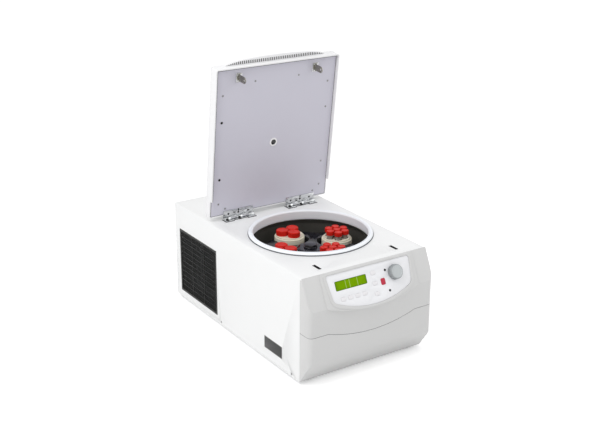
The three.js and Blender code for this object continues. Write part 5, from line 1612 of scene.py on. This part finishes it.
    def side(self, inset: float) -> list[tuple[float, float]]:
        """The cover seen from the side, falling to its lip at the front.

        Args:
            inset: How far it lies inside the outer skin.

        Returns:
            Points of depth and height.
        """
        reach = -self.length - self.bow
        wall = -self.length - 0.3
        top = self.cover_low + self.cover_rise - inset
        return [(-self.rear, self.cover_low - inset), (-self.rear, top), (reach + self.fall, top),
                (reach, self.lip_low + self.lip_edge - inset), (reach, self.lip_low - inset),
                (wall, self.lip_low - inset), (wall, self.cover_low - inset)]

    def lip(self, x: float) -> float:
        """The curved front edge at a place across the lid."""
        share = max(1 - (x / self.lip_half) ** 2, 0.0)
        return -self.length - self.bow * share ** self.lip_share

    def build_cover(self) -> None:
        """The crowned cover, with grip ribs on the underside of its curved lip."""
        half, length, wall, low = self.half_width, self.length, self.wall, self.lip_low
        cover = prism("lid_skin", self.crown(0), -2 * length, 0, Axis.Y)
        carve(cover, prism("tool", self.side(0), -half - 1, half + 1, Axis.X), cut=Cut.WITHIN)
        steps = self.lip_steps
        spots = [self.lip_half * math.sin(math.pi / 2 * step / steps) for step in range(-steps, steps + 1)]
        corner = rounded([(-half, -length / 2), (-half, -length, 3.0), (-half + 9, -length)], 5)[1:-1]
        plan = [*corner, *((x, self.lip(x)) for x in spots), *((-x, y) for x, y in reversed(corner)),
                (half, -self.rear), (-half, -self.rear)]
        carve(cover, prism("tool", plan, low - 5, self.cover_top), cut=Cut.WITHIN)
        soften(cover, 1.6, 4, 50)
        hollow = prism("hollow", self.crown(wall), -length + wall, -self.rear - wall, Axis.Y)
        carve(hollow, prism("tool", self.side(wall), -half, half, Axis.X), cut=Cut.WITHIN)
        carve(cover, hollow)
        grooves = []
        for k in range(self.ribs):
            x = (k - (self.ribs - 1) / 2) * self.rib_pitch
            start = max(self.lip(x) + 1.5, -length - self.groove_reach)
            grooves.append(block("tool", (x - self.groove / 2, start, low - 1),
                                 (x + self.groove / 2, -length + 1, low + self.groove_depth)))
        carve(cover, *grooves)
        carve(cover, self.port_tool())
        fit(cover, LID, LID_SHELL, "lid", ["lid_cover"])

    def build_grip_shadow(self) -> None:
        """Painted shade: a dark strip behind the grip ribs, seen through the grooves in place of their
        shade.
        """
        reach, back, steps = self.ribs * self.rib_pitch / 2, -self.length - 0.4, self.crown_steps
        spots = [reach * (2 * step / steps - 1) for step in range(steps + 1)]
        outline = [(x, max(self.lip(x) + 1.2, 0.3 - self.length - self.groove_reach)) for x in spots]
        strip = prism("grip_shadow_strip", [*outline, (reach, back), (-reach, back)], self.lip_low + 1.0,
                      self.lip_low + 2.6)
        fit(strip, LID, BLACK, "lid")

    def build_hook(self, side: str, sign: int) -> None:
        """A latch hook: the blade on its flanged foot with four rivets.

        Args:
            side: Which hook it is.
            sign: The side of the lid, -1 for the left.
        """
        top, half, tip, thick = self.plate_low - 0.3, self.hook_half, self.hook_tip, self.hook_thick
        spot = LID @ shift(sign * self.latch_x, -self.latch_u, 0)
        hook = prism(f"steel_hook_{side}", rounded([
            (-half, top), (-half, tip + half * 0.7, 3), (0, tip, 4), (half, tip + half * 0.7, 3),
            (half, top)], 4), -thick, thick, Axis.X)
        carve(hook, rod("tool", self.hook_eye, -3, 3, Axis.X, 0, tip + half, 24))
        x, y = self.foot_half
        carve(hook, block("base", (0.3 - x, 0.3 - y, top - 2), (x - 0.3, y - 0.3, top)), cut=Cut.ADD)
        fit(soften(hook, 0.5, 2, 40), spot, HOOK, "lid", [f"latch_hook_{side}"])
        foot = block("foot", (-x - 2.2, -y - 1.2, top - 1.6), (x + 2.2, y + 1.2, top), 0.5)
        carve(foot, block("tool", (-x, -y, top - 5), (x, y, top + 5)))
        across, along = self.rivet_spot
        rivets = [rod("rivet", self.rivet_radius, top - 3.6, top - 2.0, Axis.Z, a, b, 20, 0.5)
                  for a in (-across, across) for b in (-along, along)]
        fit(join([foot, *rivets], f"hook_flange_{side}"), spot, CHROME, "lid")

    def build_port(self) -> None:
        """The dark sight port and the white ring round it."""
        r, low, seat, outer = self.port_radius, self.port_low, self.port_seat, self.port_ring
        spot = LID @ shift(0, self.port_y, 0)
        glass = lathe("port_glass", [(0, 7.0), (r + 0.6, 7.0), (r + 1.4, 7.3), (r + 1.4, seat), (r, seat),
                                     (r, 53.5), (r - 0.5, 54), (0, 54)], 48)
        fit(glass, spot, PORT, "lid", ["sight_glass"])
        collar = lathe("port_ring", rounded([
            (r + 1.5, low, 0.4), (r + 1.5, seat), (outer, seat), (outer, 6.9, 0.5),
            (outer - 1.4, low, 0.4)], 4), 48, closed=True)
        fit(collar, spot, LID_SHELL, "lid", ["sight_glass"])

    def build_screws(self) -> None:
        """Screws round the inner plate, and two dark plugs."""
        head, plug = ScrewHead(2.9, 1.3).build(), ScrewHead(3.8, 1.3, 0.6).build()
        for index, (x, u) in enumerate((*self.screw_spots, *self.dark_spots)):
            dark = (x, u) in self.dark_spots
            spot = LID @ shift(x, -u, self.plate_low + 0.1) @ turn(180, "X") @ turn(self.screw_turn * index)
            screw = duplicate(plug if dark else head, f"plate_screw_{index + 1}", spot)
            dress(screw, BLACK if dark else SCREW, "lid")
        bpy.data.objects.remove(head)
        bpy.data.objects.remove(plug)


@dataclass
class Hinges:
    """Two plated hinges with their screws and notches, dark hook shapes, and dark pieces of painted shade in
    the notches and round the bases.
    """

    inner: float = 57.0
    outer: float = 155.0
    axis_y: float = 149.641
    axis_z: float = 307.0
    leaf_row: float = 11.8
    leaf_low: float = 5.7
    leaf_high: float = 7.7
    leaf_far: float = 23.0
    leaf_screws: int = 3
    screw_turn: float = 31.0
    edge: float = 0.3
    notch: float = 3.6
    dark_hook_places: tuple[float, float] = (4.0, 44.0)
    dark_hook_width: float = 6.0
    dark_hook_outline: tuple[tuple[float, float], ...] = (
        (-4.6, -2.1), (-4.6, 3.2), (-6.4, 3.6), (-7.2, 2.2), (-7.0, -0.4), (-10.6, -0.4), (-12.0, 0.6),
        (-13.0, -0.4), (-12.6, -2.1))
    # Outline and height of the dark pad that paints the shadow round the hinge's base.
    shadow_pad_spread: float = 2.2
    shadow_pad_front: float = -13.0
    shadow_pad_step: float = -8.0
    shadow_pad_rear: float = 9.0
    shadow_pad_low: float = -4.48
    shadow_pad_high: float = -4.24

    def build(self) -> None:
        """Builds and dresses both hinges."""
        head = ScrewHead(3.2, 1.2, 0.6).build()
        span, count = self.outer - self.inner, self.leaf_screws
        for side, x0 in (("left", -self.outer), ("right", self.inner)):
            for part, name, sharp, smooth in (("base", "plate", 45, 30), ("pin", "rod", 60, 50)):
                reface(f"hinge_{part}_{side}", f"hinge_{name}_{side}", self.edge, CHROME, "cabinet",
                       2, sharp, smooth)
            self.build_leaf(side, x0 + span / 2)
            self.build_dark_hooks(side, x0, span)
            for k in range(count):
                spot = LID @ shift(x0 + span * (k + 0.5) / count, -self.leaf_row, self.leaf_low + 0.5)
                spot = spot @ turn(180, "X") @ turn(self.screw_turn * k)
                screw = duplicate(head, f"leaf_screw_{side}_{k + 1}", spot)
                dress(screw, PLATE, "lid")
        bpy.data.objects.remove(head)

    def build_leaf(self, side: str, middle: float) -> None:
        """The lid's half of a hinge, notched in the middle over a dark strip that paints the shade in the
        notch.

        Args:
            side: Which hinge it is.
            middle: The hinge's middle across the lid.
        """
        leaf = refined_copy(f"hinge_leaf_{side}", f"hinge_leaf_plated_{side}", 0)
        x0, x1, far = middle - self.notch / 2, middle + self.notch / 2, self.leaf_far
        tool = block("tool", (x0, -far - 1, self.leaf_low - 1),
                     (x1, -self.leaf_row - 3.5, self.leaf_high + 1))
        soften(carve(leaf, place(tool, LID)), self.edge, 2, 45)
        dress(leaf, CHROME, "lid", [f"hinge_leaf_{side}"])
        # Painted shade: a dark strip behind the notch.
        notch_shadow = block(f"leaf_notch_shadow_{side}", (x0 + 0.2, 0.8 - far, self.leaf_high - 1.2),
                     (x1 - 0.2, -self.leaf_row - 3.8, self.leaf_high + 0.1), 0.2)
        fit(notch_shadow, LID, DARK_LENS_AND_SHADE, "lid")

    def build_dark_hooks(self, side: str, x0: float, span: float) -> None:
        """Dark hook shapes on the deck's half, and a dark pad under it that paints the shadow line round the
        hinge's base.

        Args:
            side: Which hinge it is.
            x0: The hinge's left end.
            span: The hinge's length.
        """
        axis = shift(x0, self.axis_y, self.axis_z)
        # Dark hook shapes on the deck's half of the hinge.
        dark_hooks = [prism("stop", self.dark_hook_outline, start, start + self.dark_hook_width, Axis.X)
                 for start in self.dark_hook_places]
        for stop in dark_hooks:
            soften(stop, self.edge, 2, 40)
        fit(join(dark_hooks, f"hinge_dark_hooks_{side}"), axis, BLACK, "cabinet")
        s, tab = self.shadow_pad_spread, span / 4
        front, step, rear = self.shadow_pad_front - s, self.shadow_pad_step - s, self.shadow_pad_rear + s
        outline = rounded([
            (-s, rear, 1), (-s, front, 1), (tab + s, front, 1), (tab + s, step, 1),
            (span - tab - s, step, 1), (span - tab - s, front, 1), (span + s, front, 1),
            (span + s, rear, 1)], 3)
        # Painted shadow: a thin dark pad that shows past the base plate's edge.
        shadow_pad = prism(f"hinge_shadow_pad_{side}", outline, self.shadow_pad_low, self.shadow_pad_high)
        fit(shadow_pad, axis, BLACK, "cabinet")


@dataclass
class CoolingUnit:
    """Condenser, fan and compressor in the rear bay."""

    def build(self) -> None:
        """Dresses the cooling circuit's CAD nodes."""
        for node, finish in (("condenser", FINS), ("condenser_fan", BLACK), ("compressor", BLACK_CASE)):
            dress_node(node, finish)


@dataclass
class Studio:
    """White floor, soft light and the camera."""

    floor_half: float = 20.0
    sky: float = 0.76
    key_spot: tuple[float, float, float] = (-2.2, -0.4, 3.0)
    key_size: float = 1.8
    key_power: float = 42.0
    fill_spot: tuple[float, float, float] = (2.2, -1.6, 1.7)
    fill_size: float = 1.6
    fill_power: float = 8.0
    floor_glow: float = 0.36
    aim: tuple[float, float, float] = (0.0, -0.05, 0.25)
    sensor: float = 36.0
    lens: float = 64.686
    azimuth: float = -34.1127
    fall: float = 20.2386
    roll: float = 0.4056
    shift_x: float = -0.01609
    shift_y: float = -0.00094
    spot: tuple[float, float, float] = (-1.56940, -2.37242, 1.37897)

    def build(self) -> None:
        """Sets the stage."""
        scene = bpy.context.scene
        scene.view_settings.view_transform = "Standard"
        self.build_floor()
        self.build_sky()
        self.build_lamp("key_softbox", self.key_spot, self.key_size, self.key_power)
        self.build_lamp("fill_softbox", self.fill_spot, self.fill_size, self.fill_power)
        self.build_camera()

    def build_floor(self) -> None:
        """The pale floor, which shows white where no shadow falls."""
        deselect()
        bpy.ops.mesh.primitive_plane_add(size=2 * self.floor_half, location=(0, 0, 0))
        floor = bpy.context.object
        floor.name = "studio_floor"
        material = bpy.data.materials.new("studio_white")
        material.use_nodes = True
        material.node_tree.nodes.clear()
        tree = Tree(material.node_tree)
        diffuse = tree.add("BsdfDiffuse", {"Color": (0.9, 0.9, 0.9, 1)})
        glow = tree.add("Emission", {"Color": (1, 1, 1, 1)})
        tree.link(tree.maths("MULTIPLY", self.seen(tree), self.floor_glow), glow.inputs["Strength"])
        both = tree.add("AddShader")
        output = tree.add("OutputMaterial")
        tree.link(diffuse.outputs[0], both.inputs[0])
        tree.link(glow.outputs[0], both.inputs[1])
        tree.link(both.outputs[0], output.inputs["Surface"])
        floor.data.materials.append(material)

    @staticmethod
    def seen(tree: Tree) -> Socket:
        """One for rays from the camera or through a reflection or glass, else nought.

        Args:
            tree: The tree that asks.

        Returns:
            The value.
        """
        path = tree.add("LightPath")
        glossy = tree.maths("MAXIMUM", path.outputs["Is Glossy Ray"], path.outputs["Is Transmission Ray"])
        return tree.maths("MAXIMUM", path.outputs["Is Camera Ray"], glossy)

    def build_sky(self) -> None:
        """White surroundings, softer as a light than they look."""
        world = bpy.data.worlds.new("studio_sky")
        bpy.context.scene.world = world
        world.use_nodes = True
        world.node_tree.nodes.clear()
        tree = Tree(world.node_tree)
        back = tree.add("Background", {"Color": (1, 1, 1, 1)})
        strength = tree.maths("MULTIPLY_ADD", self.seen(tree), 1 - self.sky, self.sky)
        tree.link(strength, back.inputs["Strength"])
        output = tree.add("OutputWorld")
        tree.link(back.outputs[0], output.inputs["Surface"])

    def build_lamp(self, name: str, spot: Point, size: float, power: float) -> None:
        """A square softbox aimed at the machine.

        Args:
            name: The lamp's name.
            spot: Its place in metres.
            size: Its side in metres.
            power: Its power in watts.
        """
        light = bpy.data.lights.new(name, "AREA")
        light.size = size
        light.energy = power
        lamp = bpy.data.objects.new(name, light)
        bpy.context.scene.collection.objects.link(lamp)
        aim = Vector(self.aim) - Vector(spot)
        lamp.matrix_world = Matrix.Translation(spot) @ aim.to_track_quat("-Z", "Y").to_matrix().to_4x4()

    def build_camera(self) -> None:
        """The camera at the photograph's place."""
        azimuth, fall, roll = (math.radians(a) for a in (self.azimuth, self.fall, self.roll))
        level = math.cos(fall)
        back = Vector((math.sin(azimuth) * level, -math.cos(azimuth) * level, math.sin(fall)))
        right = Vector((0, 0, 1)).cross(back).normalized()
        up = back.cross(right)
        c, s = math.cos(roll), math.sin(roll)
        rows = Matrix((c * right + s * up, c * up - s * right, back))
        data = bpy.data.cameras.new("photo_camera")
        data.lens = self.lens
        data.sensor_width = self.sensor
        data.shift_x = self.shift_x
        data.shift_y = self.shift_y
        data.clip_end = 100
        camera = bpy.data.objects.new("photo_camera", data)
        bpy.context.scene.collection.objects.link(camera)
        camera.matrix_world = Matrix.Translation(self.spot) @ rows.transposed().to_4x4()
        bpy.context.scene.camera = camera


def main() -> None:
    """Builds the sub-assemblies in order."""
    logging.basicConfig(level=logging.INFO, format="%(name)s: %(message)s")
    for assembly in (Studio(), Housing(), Nose(), ControlPanel(), Chamber(), Rotor(), Lid(), Hinges(),
                     CoolingUnit()):
        LOG.info("%s", type(assembly).__name__)
        assembly.build()
    deselect()


if __name__ == "__main__":
    main()
